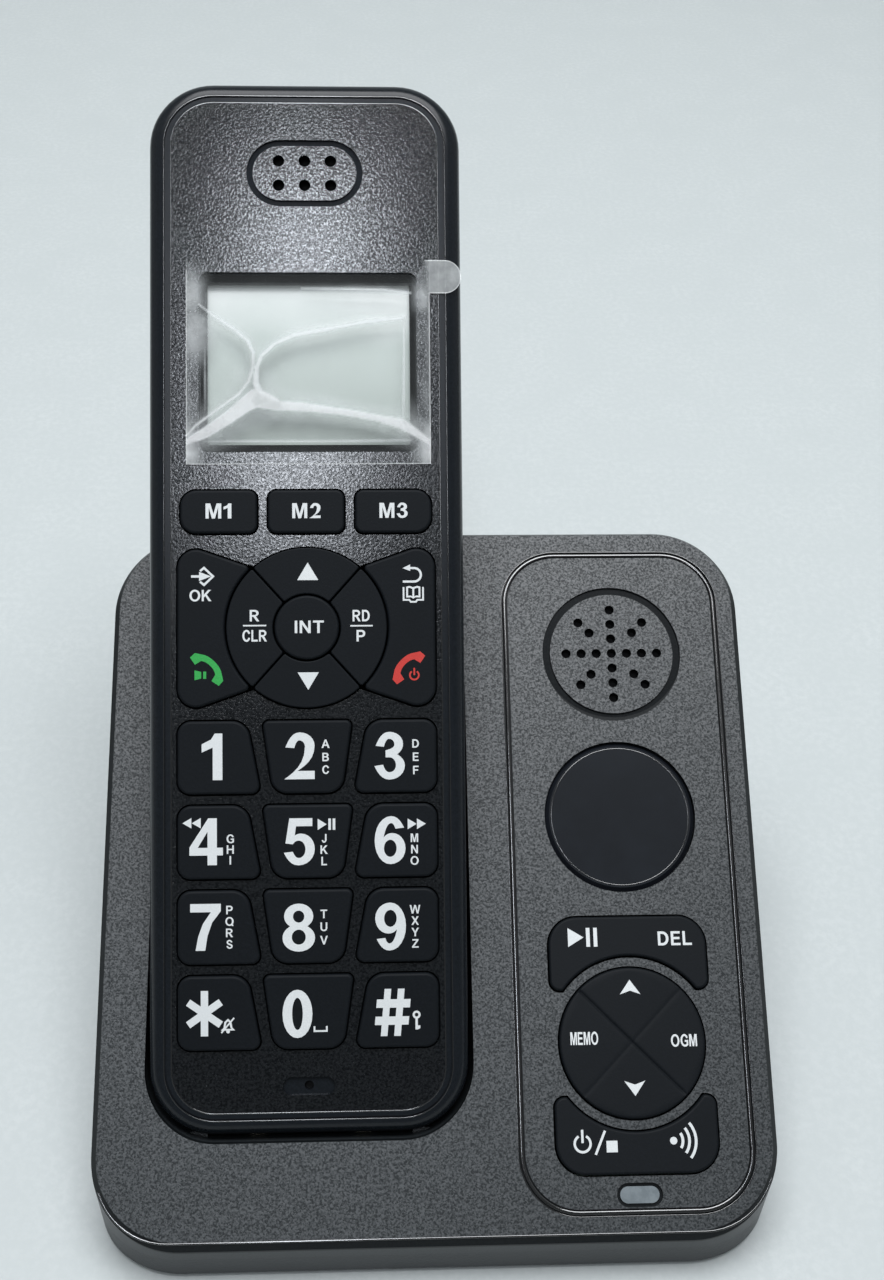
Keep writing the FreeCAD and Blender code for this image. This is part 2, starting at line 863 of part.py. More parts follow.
display_opening = display_radius + fit_gap
display_tools = [
    cylinder("display_recess_tool", panel, 0, display_up, -display_recess, display_opening,
             display_recess * 2),
    cylinder("display_window_tool", panel, 0, display_up, -base_wall * 2,
             display_radius - display_ledge, base_wall * 3)]
scroll_hole = cylinder("scroll_hole", panel, 0, scroll_up, -base_wall * 2,
                       scroll_radius + key_gap, base_wall * 3)


def stadium(name, frame, middle_y, half_width, half_height, low, high):
    """A solid with half-round ends, a hair off half round so that their straight sides stay."""
    radius = half_height - fit_gap / 10
    sketch = rounded_sketch(sketch_in(frame, name + "_outline", low), rectangle(
        half_width, middle_y - half_height, middle_y + half_height, radius))
    return extrusion(name, sketch, high - low)


light_slot = stadium("light_slot", panel, light_up, light_width / 2 + fit_gap,
                     light_height / 2 + fit_gap, -base_wall * 2, base_wall)
light_dish = stadium("light_dish", panel, light_up, light_width / 2 + light_surround,
                     light_height / 2 + light_surround, -light_recess, base_wall)


def jack_hole(name, x, width, rise, depth):
    """The opening for a socket in the back wall."""
    return box(name, back, x - width / 2 - fit_gap, jack_height - rise / 2 - fit_gap,
               -base_wall, width + fit_gap * 2, rise + fit_gap * 2, depth)


power_hole = jack_hole("power_hole", power_jack_x, power_jack_width, power_jack_rise, power_jack_depth)
line_hole = jack_hole("line_hole", line_jack_x, line_jack_width, line_jack_rise, line_jack_depth)

contact_places = [(-contact_spacing / 2), contact_spacing / 2]
contact_slots = [box(f"contact_slot_{number}", handset, x - contact_width / 2 - fit_gap * 2,
                     -(cradle_gap + cradle_wall * 2), -(contact_depth + contact_thickness / 2 + fit_gap * 2),
                     contact_width + fit_gap * 4, cradle_wall * 2 + cradle_gap,
                     contact_thickness + fit_gap * 4)
                 for number, x in enumerate(contact_places)]
rest_ribs = [box(f"rest_rib_{number}", handset, side * rest_rib_spacing / 2 - rest_rib_width / 2,
                 -(cradle_gap + cradle_wall / 2), -(rest_rib_depth + rest_rib_height), rest_rib_width,
                 cradle_gap + cradle_wall / 2, rest_rib_height)
             for number, side in enumerate((-1, 1))]

whole_top = fuse("whole_top", [top_shell, cradle_scoop, housing] + posts)
opened_top = cut("opened_top", whole_top, [cradle_space, play_hole, stop_hole, scroll_hole, light_slot,
                                           light_dish, power_hole, line_hole, grille_groove, panel_groove]
                 + display_tools + grille_tools + pilots + contact_slots)
sub_part("base_top_cover", fuse("top_cover_with_ribs", [opened_top] + rest_ribs))

tray_outside = common("tray_outside", base_block, slab("tray_slab", foot_height, seam_height))
tray_room = common("tray_room", base_hollow,
                   slab("tray_room_slab", foot_height + floor_thickness, seam_height * 2))
tray = cut("tray", tray_outside, [tray_room])
lip = cut("lip", common("lip_outside", drop("lip_block", inner_outline("lip_outer_outline", fit_gap)),
                        slab("lip_slab", seam_height - lip_height, seam_height + lip_height)),
          [drop("lip_hollow", inner_outline("lip_inner_outline", fit_gap + lip_thickness))]
          + [cylinder(f"lip_relief_{number}", desk, x, y, 0, post_radius + fit_gap * 3, seam_height * 2)
             for number, (x, y) in enumerate(post_places)])
bosses = [common(f"boss_{number}", tray_outside, cylinder(
    f"boss_rod_{number}", desk, x, y, foot_height, boss_radius, seam_height))
    for number, (x, y) in enumerate(post_places)]
foot_x, foot_y = base_width / 2 - foot_inset, base_depth / 2 - foot_inset
foot_places = [(x, y) for y in (-foot_y, foot_y) for x in (-foot_x, foot_x)]
tray_tools = [cylinder(f"tray_screw_{number}", desk, x, y, 0, base_screw_radius + fit_gap * 3,
                       seam_height * 2)
              for number, (x, y) in enumerate(post_places)]
tray_tools += [cylinder(f"tray_counterbore_{number}", desk, x, y, 0, base_screw_head_radius + fit_gap * 3,
                        base_screw_seat) for number, (x, y) in enumerate(post_places)]
tray_tools += [cylinder(f"foot_seat_{number}", desk, x, y, 0, foot_radius + fit_gap,
                        foot_height + foot_seat) for number, (x, y) in enumerate(foot_places)]
microphone_x, microphone_y = panel_x, -base_depth / 2 + microphone_inset
tray_tools.append(cylinder("tray_microphone_hole", desk, microphone_x, microphone_y, 0,
                           mouth_hole, seam_height))
sub_part("base_bottom_cover", cut("bottom_cover", fuse("whole_tray", [tray, lip] + bosses), tray_tools))
sub_part("rubber_feet", group("feet", [
    cylinder(f"foot_{number}", desk, x, y, 0, foot_radius, foot_height + foot_seat)
    for number, (x, y) in enumerate(foot_places)]))


def screw(name, frame, x, y, seat, radius, length, head_radius, head_height):
    """A cheese-head screw that points along a frame's Z, with a slot in its head."""
    shank = cylinder(name + "_shank", frame, x, y, seat, radius, length)
    head = cylinder(name + "_head", frame, x, y, seat - head_height, head_radius, head_height)
    slot = box(name + "_slot", frame, x - head_radius, y - head_radius / 6, seat - head_height,
               head_radius * 2, head_radius / 3, head_height / 2)
    return cut(name, fuse(name + "_blank", [shank, head]), [slot])


sub_part("base_screws", group("base_screw_set", [
    screw(f"base_screw_{number}", desk, x, y, base_screw_seat, base_screw_radius, base_screw_length,
          base_screw_head_radius, base_screw_head_height)
    for number, (x, y) in enumerate(post_places)]))


# ------------------------------------------------------------------ inside the base

def board(label, frame, half_width, bottom, top, depth, corner, holes):
    """A circuit board whose upper side is at a depth, with clearance holes."""
    body = body_on(frame, label)
    outline = body_sketch(body, label + "_outline", -(depth + board_thickness))
    rounded_sketch(outline, rectangle(half_width, bottom, top, corner))
    pad(body, outline, board_thickness)
    for number, (x, y, radius) in enumerate(holes):
        hole = body_sketch(body, f"{label}_hole_{number}", -depth)
        round_sketch(hole, x, y, radius)
        pocket(body, hole, board_thickness)
    return body


board("base_circuit_board", panel, base_board_half_width, base_board_bottom, base_board_top,
      base_board_depth, board_corner, [])


def membrane(label, frame, half_width, bottom, top, depth, nubs):
    """A rubber sheet on a board, with a nub under each key."""
    sheet_outline = rounded_sketch(sketch_in(frame, label + "_outline", -depth),
                                   rectangle(half_width, bottom, top, board_corner))
    rubber = extrusion(label + "_sheet", sheet_outline, membrane_thickness)
    raised = [cylinder(f"{label}_nub_{number}", frame, x, y, -depth, nub_radius,
                       membrane_thickness + key_travel) for number, (x, y) in enumerate(nubs)]
    return sub_part(label, fuse(label + "_rubber", [rubber] + raised))


base_key_middle = (base_key_start + base_key_reach) / 2
base_nubs = [(side * base_key_half_width / 2, scroll_up + row * base_key_middle)
             for row in (-1, 1) for side in (-1, 1)]
base_nubs += [(x * scroll_radius / 2, scroll_up + y * scroll_radius / 2)
              for x, y in ((0, 0), (1, 0), (-1, 0), (0, 1), (0, -1))]
membrane("base_key_membrane", panel, base_board_half_width, scroll_up - base_key_reach,
         scroll_up + base_key_reach, base_board_depth, base_nubs)

lens = body_on(panel, "display_lens")
lens_sketch = body_sketch(lens, "display_lens_disc", -display_recess)
round_sketch(lens_sketch, 0, display_up, display_radius)
lens_pad = pad(lens, lens_sketch, display_lens_thickness)
round_top(lens, lens_pad, display_lens_thickness - display_recess, display_lens_bevel, "PartDesign::Chamfer")
module_half = display_radius - display_ledge
sub_part("display_module", box("display_module_block", panel, -module_half, display_up - module_half / 2,
                               -base_board_depth, module_half * 2, module_half,
                               base_board_depth - base_wall - fit_gap))
sub_part("light_pipe", stadium("light_pipe_lens", panel, light_up, light_width / 2, light_height / 2,
                               -base_board_depth, -fit_gap * 2))

speaker_cone = cylinder("loudspeaker_basket", panel, 0, grille_up, -(base_wall + loudspeaker_height / 2),
                        loudspeaker_radius, loudspeaker_height / 2)
speaker_magnet = cylinder("loudspeaker_magnet", panel, 0, grille_up, -(base_wall + loudspeaker_height),
                          loudspeaker_radius * magnet_share, loudspeaker_height)
sub_part("base_loudspeaker", fuse("base_loudspeaker_body", [speaker_cone, speaker_magnet]))
sub_part("base_microphone", cylinder("base_microphone_can", desk, microphone_x, microphone_y,
                                     foot_height + floor_thickness, microphone_radius,
                                     microphone_height))

power_body = box("power_jack_body", back, power_jack_x - power_jack_width / 2,
                 jack_height - power_jack_rise / 2, jack_recess, power_jack_width, power_jack_rise,
                 power_jack_depth)
power_well = cylinder("power_jack_bore", back, power_jack_x, jack_height, 0, power_bore,
                      power_bore_depth + jack_recess)
power_centre = cylinder("power_jack_pin", back, power_jack_x, jack_height, power_pin_setback, power_pin,
                        power_bore_depth)
sub_part("power_jack", fuse("power_jack_socket", [cut("power_jack_shell", power_body, [power_well]),
                                                  power_centre]))
line_body = box("line_jack_body", back, line_jack_x - line_jack_width / 2,
                jack_height - line_jack_rise / 2, jack_recess, line_jack_width, line_jack_rise,
                line_jack_depth)
line_socket = box("line_jack_socket", back, line_jack_x - line_socket_width / 2,
                  jack_height - line_socket_rise / 2, 0, line_socket_width, line_socket_rise,
                  line_socket_depth)
line_latch = box("line_jack_latch", back, line_jack_x - line_latch_width / 2,
                 jack_height - line_socket_rise / 2 - line_latch_rise, 0, line_latch_width,
                 line_latch_rise * 2, line_socket_depth)
sub_part("line_jack", cut("line_jack_block", line_body, [line_socket, line_latch]))

contact_strips = []
for number, x in enumerate(contact_places):
    finger = box(f"contact_finger_{number}", handset, x - contact_width / 2,
                 -(cradle_gap + cradle_wall * 2), -(contact_depth + contact_thickness / 2),
                 contact_width, cradle_gap + cradle_wall * 2, contact_thickness)
    leg = box(f"contact_leg_{number}", handset, x - contact_width / 2,
              -(cradle_gap + cradle_wall * 2), -(contact_depth - contact_thickness / 2 + contact_leg),
              contact_width, plate_thickness, contact_leg)
    contact_strips.append(fuse(f"contact_strip_{number}", [finger, leg]))
sub_part("cradle_contacts", group("cradle_contact_pair", contact_strips))


# ------------------------------------------------------------------ the handset's keys

key_names = [["key_1", "key_2", "key_3"], ["key_4", "key_5", "key_6"],
             ["key_7", "key_8", "key_9"], ["key_star", "key_0", "key_hash"]]
key_holes, handset_nubs = [], []


def slide_key(label, corners, nub):
    """A key that is pressed straight in."""
    body, cap = key_body(label, handset, corners, handset_wall, key_play)
    add_flange(body, label, corners, handset_wall, key_play)
    bottom = handset_wall + key_play + key_flange_thickness
    key_holes.append(opening(label, handset, cap, handset_wall + bottom))
    handset_nubs.append(nub)


for row, names in enumerate(key_names):
    top = digit_top - digit_pitch * row
    bottom = top - digit_height
    middle = top - digit_height / 2
    slide_key(names[0], [(-digit_outer, bottom, digit_corner, -1, -1),
                         (-digit_inner_bottom, bottom, digit_inner_corner_bottom, 1, -1),
                         (-digit_inner_top, top, digit_inner_corner_top, 1, 1),
                         (-digit_outer, top, digit_corner, -1, 1)],
              (-(digit_outer + digit_inner_top) / 2, middle))
    slide_key(names[1], [(-digit_middle_bottom, bottom, digit_middle_corner_bottom, -1, -1),
                         (digit_middle_bottom, bottom, digit_middle_corner_bottom, 1, -1),
                         (digit_middle_top, top, digit_middle_corner_top, 1, 1),
                         (-digit_middle_top, top, digit_middle_corner_top, -1, 1)],
              (size_of(0), middle))
    slide_key(names[2], [(digit_inner_bottom, bottom, digit_inner_corner_bottom, -1, -1),
                         (digit_outer, bottom, digit_corner, 1, -1),
                         (digit_outer, top, digit_corner, 1, 1),
                         (digit_inner_top, top, digit_inner_corner_top, -1, 1)],
              ((digit_outer + digit_inner_top) / 2, middle))

for number in (1, 2, 3):
    middle = memory_pitch * (number - 2)
    left, right = middle - memory_width / 2, middle + memory_width / 2
    low, high = memory_up - memory_height / 2, memory_up + memory_height / 2
    left_corner = memory_end_corner if number == 1 else memory_corner
    right_corner = memory_end_corner if number == 3 else memory_corner
    slide_key(f"memory_key_{number}", [
        (left, low, left_corner, -1, -1), (right, low, right_corner, 1, -1),
        (right, high, right_corner, 1, 1), (left, high, left_corner, -1, 1)], (middle, memory_up))

# The middle cluster: a round intercom key, four petals around it and a wing on each side.
cluster_bottom = flange_top(handset_wall, key_play) - key_flange_thickness
wing_bottom = flange_top(handset_wall, rocker_lift) - key_flange_thickness
half_gap = key_gap / 2
intercom = body_on(handset, "intercom_key")
intercom_cap = body_sketch(intercom, "intercom_cap", cluster_bottom)
round_sketch(intercom_cap, 0, cluster_up, intercom_radius)
intercom_pad = pad(intercom, intercom_cap, key_proud - cluster_bottom)
round_top(intercom, intercom_pad, key_proud, key_edge)
handset_nubs.append((size_of(0), cluster_up))


def sector_sketch(sketch, ahead, side, half_angle):
    """Draw the part of the ring between two diagonals, half a gap off each.

    ahead is the direction of its middle and side the direction a quarter turn on.
    """
    centre = Vector(0, cluster_up.value, 0)
    corners = []
    for radius in (intercom_radius + key_gap, cluster_radius):
        run = root(radius * radius - half_gap * half_gap)
        along = run * cosine(half_angle) + half_gap * sine(half_angle)
        across = run * sine(half_angle) - half_gap * cosine(half_angle)
        for end in (-1, 1):
            corners.append((ahead[0] * along + end * side[0] * across,
                            cluster_up + ahead[1] * along + end * side[1] * across))
    inner_start, inner_end, outer_start, outer_end = [Vector(x.value, y.value, 0) for x, y in corners]
    arcs = []
    for radius, first, last in ((intercom_radius + key_gap, inner_start, inner_end),
                                (cluster_radius, outer_start, outer_end)):
        from_angle = math.atan2(first.y - centre.y, first.x - centre.x)
        to_angle = math.atan2(last.y - centre.y, last.x - centre.x)
        arcs.append(Part.ArcOfCircle(Part.Circle(centre, Z_AXIS, radius.value), from_angle, to_angle))
    sketch.addGeometry(arcs + [Part.LineSegment(inner_start, outer_start),
                               Part.LineSegment(outer_end, inner_end)], False)
    joints = [(0, 1, 2, 1), (1, 1, 2, 2), (1, 2, 3, 1), (0, 2, 3, 2)]
    rules = [Sketcher.Constraint("Coincident", *ends) for ends in joints]
    formulas = {}

    def measure(kind, value, *where):
        formulas[len(rules)] = value.formula
        rules.append(Sketcher.Constraint(kind, *where, value.value))

    for arc, radius in enumerate((intercom_radius + key_gap, cluster_radius)):
        measure("DistanceX", size_of(0), -1, 1, arc, 3)
        measure("DistanceY", cluster_up, -1, 1, arc, 3)
        measure("Radius", radius, arc)
    upright = ahead[0] == 0
    for (x, y), (arc, end) in zip(corners, ((0, 1), (0, 2), (1, 1), (1, 2))):
        measure("DistanceX" if upright else "DistanceY", x if upright else y, -1, 1, arc, end)
    sketch.addConstraint(rules)
    for index, formula in formulas.items():
        sketch.setExpression(f"Constraints[{index}]", formula)


def petal(label, ahead, side, half_angle):
    """One key of the ring."""
    body = body_on(handset, label)
    sector = body_sketch(body, label + "_cap", cluster_bottom)
    sector_sketch(sector, ahead, side, half_angle)
    blank = round_uprights(body, pad(body, sector, key_proud - cluster_bottom), petal_tip,
                           lambda point: True)
    round_top(body, blank, key_proud, key_edge / 2)
    middle = (cluster_radius + intercom_radius) / 2
    handset_nubs.append((ahead[0] * middle, cluster_up + ahead[1] * middle))


petal("up_key", (0, 1), (-1, 0), 90 - cluster_split)
petal("down_key", (0, -1), (1, 0), 90 - cluster_split)
petal("clear_key", (-1, 0), (0, -1), cluster_split)
petal("redial_key", (1, 0), (0, 1), cluster_split)


def wing(label, side):
    """A rocker beside the ring; side is -1 on the left and 1 on the right."""
    near, far = side * wing_waist_x, side * wing_reach
    corners = [(near, cluster_up - wing_waist, flange_corner, -side, -1),
               (far, cluster_up - wing_half_height, wing_corner, side, -1),
               (far, cluster_up + wing_half_height, wing_corner, side, 1),
               (near, cluster_up + wing_waist, flange_corner, -side, 1)]
    corners = corners if side > 0 else corners[::-1]
    body, cap = key_body(label, handset, corners, handset_wall, rocker_lift,
                         arc=(size_of(0), cluster_up, cluster_radius + key_gap))
    flange = body_sketch(body, label + "_flange", wing_bottom)
    inner, outer = far - side * rocker_flange, far + side * key_flange
    left, right = (inner, outer) if side > 0 else (outer, inner)
    rise = wing_half_height - wing_corner
    rounded_sketch(flange, [(left, cluster_up - rise, flange_corner, -1, -1),
                            (right, cluster_up - rise, flange_corner, 1, -1),
                            (right, cluster_up + rise, flange_corner, 1, 1),
                            (left, cluster_up + rise, flange_corner, -1, 1)])
    pad(body, flange, key_flange_thickness)
    for end in (-1, 1):
        handset_nubs.append((side * (wing_reach + wing_waist_x) / 2, cluster_up + end * wing_half_height / 2))
    return opening(label, handset, cap, handset_wall - wing_bottom)


wing_holes = [wing("talk_ok_key", -1), wing("end_book_key", 1)]
ring_hole = cylinder("ring_hole", handset, 0, cluster_up, -handset_wall * 2,
                     cluster_radius + key_gap, handset_wall * 3)
membrane("keypad_membrane", handset, membrane_half_width, membrane_bottom, membrane_top,
         handset_board_depth, handset_nubs)


# ------------------------------------------------------------------ the handset's covers

def half_box(name, low, high):
    """Everything between two levels of the handset."""
    return box(name, handset, -beyond, -beyond, low, beyond * 2, beyond * 2, high - low)


front_blank = dressed("Part::Fillet", "front_blank",
                      common("front_half", handset_solid, half_box("front_region", -handset_seam, beyond)),
                      handset_edge, at_level(handset, 0))
front_shell = cut("front_shell", front_blank, [handset_hollow])
upper_posts = [(side * upper_screw_x, upper_screw_up) for side in (-1, 1)]
lower_posts = [(side * lower_screw_x, lower_screw_up) for side in (-1, 1)]


def front_post(name, x, y, seat):
    """A screw post under the front cover, down to the boss of the rear cover."""
    end = seat - screw_boss_height
    return cylinder(name, handset, x, y, -end, handset_post_radius, end - handset_wall / 2)


def front_pilot(name, x, y, seat):
    return cylinder(name, handset, x, y, -seat, handset_screw_radius, handset_screw_length + fit_gap)


screw_places = ([(x, y, upper_screw_seat) for x, y in upper_posts]
                + [(x, y, lower_screw_seat) for x, y in lower_posts])
front_posts = [front_post(f"front_post_{number}", *place) for number, place in enumerate(screw_places)]
pilot_tools = [front_pilot(f"front_pilot_{number}", *place) for number, place in enumerate(screw_places)]

face_line_outline = rounded_sketch(
    sketch_in(handset, "face_line", -face_line_depth),
    rectangle(handset_width / 2, size_of(0), handset_length, handset_corner), -face_line_inset)
face_line = cut("face_line_groove", extrusion("face_line_outside", face_line_outline, face_line_depth * 2),
                [extrusion("face_line_inside",
                           offset_of("face_line_inner", face_line_outline, -face_line_width),
                           face_line_depth * 4, face_line_depth)])

screen_tools = []
for name, margin, low in (("screen_recess_tool", size_of(0), -(screen_recess + screen_lens_thickness)),
                          ("screen_window_tool", -screen_ledge, -handset_wall * 2)):
    outline = rounded_sketch(sketch_in(handset, name + "_outline", low),
                             rectangle(screen_half_width, screen_bottom, screen_top, screen_corner, screen_x),
                             margin)
    screen_tools.append(extrusion(name, outline, handset_wall * 3))

earpiece_ring = cut("earpiece_ring",
                    stadium("earpiece_ring_outside", handset, earpiece_up, earpiece_width / 2,
                            earpiece_height / 2, -earpiece_depth, earpiece_depth),
                    [stadium("earpiece_ring_inside", handset, earpiece_up,
                             earpiece_width / 2 - earpiece_groove, earpiece_height / 2 - earpiece_groove,
                             -earpiece_depth * 2, earpiece_depth * 2)])
earpiece_holes = [cylinder(f"earpiece_hole_{column}_{row}", handset, column * earpiece_pitch_x,
                           earpiece_up + row * earpiece_pitch_y, -handset_wall * 2, earpiece_hole,
                           handset_wall * 3)
                  for column in (-1, 0, 1) for row in (-0.5, 0.5)]
mouth_dish = stadium("mouth_dish", handset, mouth_up, mouth_width / 2, mouth_height / 2,
                     -mouth_depth, mouth_depth)
mouth_tool = cylinder("mouth_hole_tool", handset, 0, mouth_up, -handset_wall * 2, mouth_hole,
                      handset_wall * 3)


def plate(name, x, clearance):
    """A charging plate in the handset's lower end, with a tab through the wall."""
    flat = box(name + "_flat", handset, x - plate_width / 2 - clearance, -plate_thickness,
               -(contact_depth + plate_height / 2 + clearance), plate_width + clearance * 2,
               plate_thickness * 2, plate_height + clearance * 2)
    tab = box(name + "_tab", handset, x - plate_width / 4 - clearance, size_of(0),
              -(contact_depth + plate_thickness / 2 + clearance), plate_width / 2 + clearance * 2,
              handset_wall * 2, plate_thickness + clearance * 2)
    return fuse(name, [flat, tab])


plate_tools = [plate(f"plate_tool_{number}", x, fit_gap / 2) for number, x in enumerate(contact_places)]
front_whole = fuse("front_whole", [front_shell] + front_posts)
sub_part("handset_front_cover", cut("front_cover", front_whole, (
    key_holes + wing_holes + [ring_hole, face_line, earpiece_ring, mouth_dish, mouth_tool]
    + screen_tools + earpiece_holes + pilot_tools + plate_tools)))
plates = []
for number, x in enumerate(contact_places):
    blank = plate(f"plate_{number}", x, size_of(0))
    trimmed = box(f"plate_inside_{number}", handset, -beyond, 0, -beyond, beyond * 2, beyond, beyond * 2)
    plates.append(common(f"charging_plate_{number}", blank, trimmed))
sub_part("charging_plates", group("charging_plate_pair", plates))

rear_half = common("rear_half", handset_solid, half_box("rear_region", -beyond, -handset_seam))
rear_shell = cut("rear_shell", rear_half, [handset_hollow])
door_bottom = battery_bottom - battery_spring_room - door_margin
door_top = battery_bottom + battery_length + battery_nub + battery_spring_room + door_margin
door_floor = handset_thickness - door_thickness
tray_margin = compartment_wall + fit_gap
door_seat = box("door_seat", handset, -(door_half_width + tray_margin), door_bottom - tray_margin,
                -(door_floor - fit_gap), (door_half_width + tray_margin) * 2,
                door_top - door_bottom + tray_margin * 2, compartment_wall)
cell_x = battery_radius + battery_gap / 2
cell_depth = door_floor - fit_gap - battery_gap - battery_radius
room_half = battery_radius * 2 + battery_gap
room_bottom, room_top = battery_bottom - battery_spring_room, door_top - door_margin
room_floor = cell_depth - battery_radius - battery_gap
battery_case = box("battery_case", handset, -(room_half + compartment_wall), room_bottom - compartment_wall,
                   -(door_floor - fit_gap), (room_half + compartment_wall) * 2,
                   room_top - room_bottom + compartment_wall * 2, door_floor - room_floor + compartment_wall)
battery_room = box("battery_room", handset, -room_half, room_bottom, -beyond, room_half * 2,
                   room_top - room_bottom, beyond - room_floor)
door_opening = box("door_opening", handset, -(door_half_width + fit_gap), door_bottom - fit_gap, -beyond,
                   (door_half_width + fit_gap) * 2, door_top - door_bottom + fit_gap * 2,
                   beyond - door_floor + fit_gap)


def rear_boss(name, x, y, seat):
    """The rear cover's boss that a screw's head pulls on, trimmed to the outer form."""
    rod = cylinder(name + "_rod", handset, x, y, -beyond, handset_post_radius + compartment_wall,
                   beyond - (seat - screw_boss_height))
    return common(name, handset_solid, rod)


rear_bosses = [rear_boss(f"rear_boss_{number}", *place) for number, place in enumerate(screw_places)]
rear_tools = [battery_room, door_opening]
for number, (x, y, seat) in enumerate(screw_places):
    rear_tools.append(cylinder(f"rear_screw_hole_{number}", handset, x, y, -beyond,
                               handset_screw_radius + fit_gap * 2, beyond))
    rear_tools.append(cylinder(f"rear_counterbore_{number}", handset, x, y, -beyond,
                               handset_screw_head_radius + fit_gap * 3, beyond - seat))
ringer_holes = [(size_of(0), size_of(0))] + [
    (ringer_radius / 2 * math.cos(math.radians(angle)), ringer_radius / 2 * math.sin(math.radians(angle)))
    for angle in range(0, 360, 60)]
for number, (x, y) in enumerate(ringer_holes):
    rear_tools.append(cylinder(f"ringer_hole_{number}", handset, x, ringer_up + y, -beyond,
                               grille_hole, beyond - handset_seam))
sub_part("handset_rear_cover", cut("rear_cover", fuse(
    "rear_whole", [rear_shell, door_seat, battery_case] + rear_bosses), rear_tools))

door_block = box("door_block", handset, -door_half_width, door_bottom, -beyond, door_half_width * 2,
                 door_top - door_bottom, beyond - door_floor)
sub_part("battery_door", common("door_plate", handset_solid, door_block))
sub_part("handset_screws", group("handset_screw_set", [
    screw(f"handset_screw_{number}", handset, x, y, -seat, handset_screw_radius, handset_screw_length,
          handset_screw_head_radius, handset_screw_head_height)
    for number, (x, y, seat) in enumerate(screw_places)]))


# ------------------------------------------------------------------ inside the handset

lengthwise = handset.turned(0, 0, 0, -90)
cells = []
for number, side in enumerate((-1, 1)):
    start = battery_bottom if side > 0 else battery_bottom + battery_nub
    nub_at = start + battery_length if side > 0 else battery_bottom
    cell = cylinder(f"cell_can_{number}", lengthwise, side * cell_x, cell_depth, start, battery_radius,
                    battery_length)
    nub = cylinder(f"cell_nub_{number}", lengthwise, side * cell_x, cell_depth, nub_at, battery_radius / 3,
                   battery_nub)
    cells.append(fuse(f"cell_{number}", [cell, nub]))
sub_part("batteries", group("battery_pair", cells))
leaves = []
for number, side in enumerate((-1, 1)):
    for end, y in (("low", room_bottom), ("high", room_top - leaf_thickness)):
        leaf_plate = box(f"battery_leaf_{end}_{number}", handset, side * cell_x - leaf_half_width, y,
                         -(cell_depth + leaf_half_width), leaf_half_width * 2, leaf_thickness,
                         leaf_half_width * 2)
        low_end, high_end = room_bottom + leaf_thickness, battery_bottom + battery_length + battery_nub
        spring = cylinder(f"battery_spring_{end}_{number}", lengthwise, side * cell_x, cell_depth,
                          low_end if end == "low" else high_end, battery_radius / 3,
                          battery_spring_room - leaf_thickness)
        leaves.append(fuse(f"battery_contact_{end}_{number}", [leaf_plate, spring]))
sub_part("battery_contacts", group("battery_contact_set", leaves))

board("handset_circuit_board", handset, handset_board_half_width, handset_board_bottom, handset_board_top,
      handset_board_depth, handset_corner - handset_wall - board_clearance,
      [(x, y, handset_post_radius + fit_gap * 3) for x, y, seat in screw_places])

lens_top = -screen_recess
window = body_on(handset, "screen_lens")
window_sketch = body_sketch(window, "screen_lens_sheet", lens_top - screen_lens_thickness)
rounded_sketch(window_sketch, rectangle(
    screen_half_width, screen_bottom, screen_top, screen_corner, screen_x), -fit_gap)
pad(window, window_sketch, screen_lens_thickness)
lcd_outline = rounded_sketch(
    sketch_in(handset, "lcd_outline", -handset_board_depth),
    rectangle(screen_half_width, screen_bottom, screen_top, screen_corner, screen_x), lcd_border)
sub_part("lcd_module", extrusion("lcd_block", lcd_outline, handset_board_depth - handset_wall - key_gap))

film_sheet = rounded_sketch(sketch_in(handset, "film_outline"), rectangle(
    screen_half_width, screen_bottom, screen_top, screen_corner, screen_x), film_margin)
film_right = screen_x + screen_half_width + film_margin
tab_top = screen_top + film_margin
film_tab = rounded_sketch(sketch_in(handset, "film_tab_outline"), [
    (film_right - film_tab_root, tab_top - film_tab_height, film_tab_root_corner, -1, -1),
    (film_tab_reach, tab_top - film_tab_height, film_tab_corner, 1, -1),
    (film_tab_reach, tab_top, film_tab_corner, 1, 1),
    (film_right - film_tab_root, tab_top, film_tab_root_corner, -1, 1)])
sub_part("screen_film", fuse("film_with_tab", [extrusion("film_main", film_sheet, film_thickness),
                                               extrusion("film_tab", film_tab, film_thickness)]))
sub_part("earpiece_speaker", cylinder("earpiece_can", handset, 0, earpiece_up,
                                      -(handset_wall + fit_gap + earpiece_speaker_height),
                                      earpiece_speaker_radius, earpiece_speaker_height))
sub_part("handset_microphone", cylinder("mouth_can", handset, 0, mouth_up,
                                        -(handset_wall + fit_gap + microphone_height),
                                        microphone_radius, microphone_height))
sub_part("handset_ringer", fuse("ringer_body", [
    cylinder("ringer_rim", handset, 0, ringer_up, -(handset_thickness - handset_wall), ringer_radius,
             ringer_height / 2),
    cylinder("ringer_magnet", handset, 0, ringer_up, -(handset_thickness - handset_wall),
             ringer_radius * magnet_share, ringer_height)]))


# ------------------------------------------------------------------ check and write

doc.recompute()
failed = [thing.Name for thing in doc.Objects if "Invalid" in thing.State or "Error" in thing.State]
if failed:
    raise RuntimeError(f"these objects failed: {failed}")
os.makedirs("parts", exist_ok=True)
for label, thing in sorted(sub_parts.items()):
    shape = thing.Shape
    if shape.isNull() or not shape.isValid() or not shape.Solids:
        raise RuntimeError(f"{label} has no sound shape")
    shape.exportStep(f"parts/{label}.step")
    print(f"{label}: {len(shape.Solids)} solids, {shape.Volume:.0f} mm3")
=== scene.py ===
# %% [markdown]
# # A cordless telephone in its answering machine
# The engineer's model holds every solid of the machine in its true place. This script
# dresses it: it gives each solid a finish, adds the print on the keys, the wrinkled
# protective film and a few thin trims, and then sets the lights and the camera.
# Lengths are drawn in millimetres and turned to metres at the end, as the model is.

import math

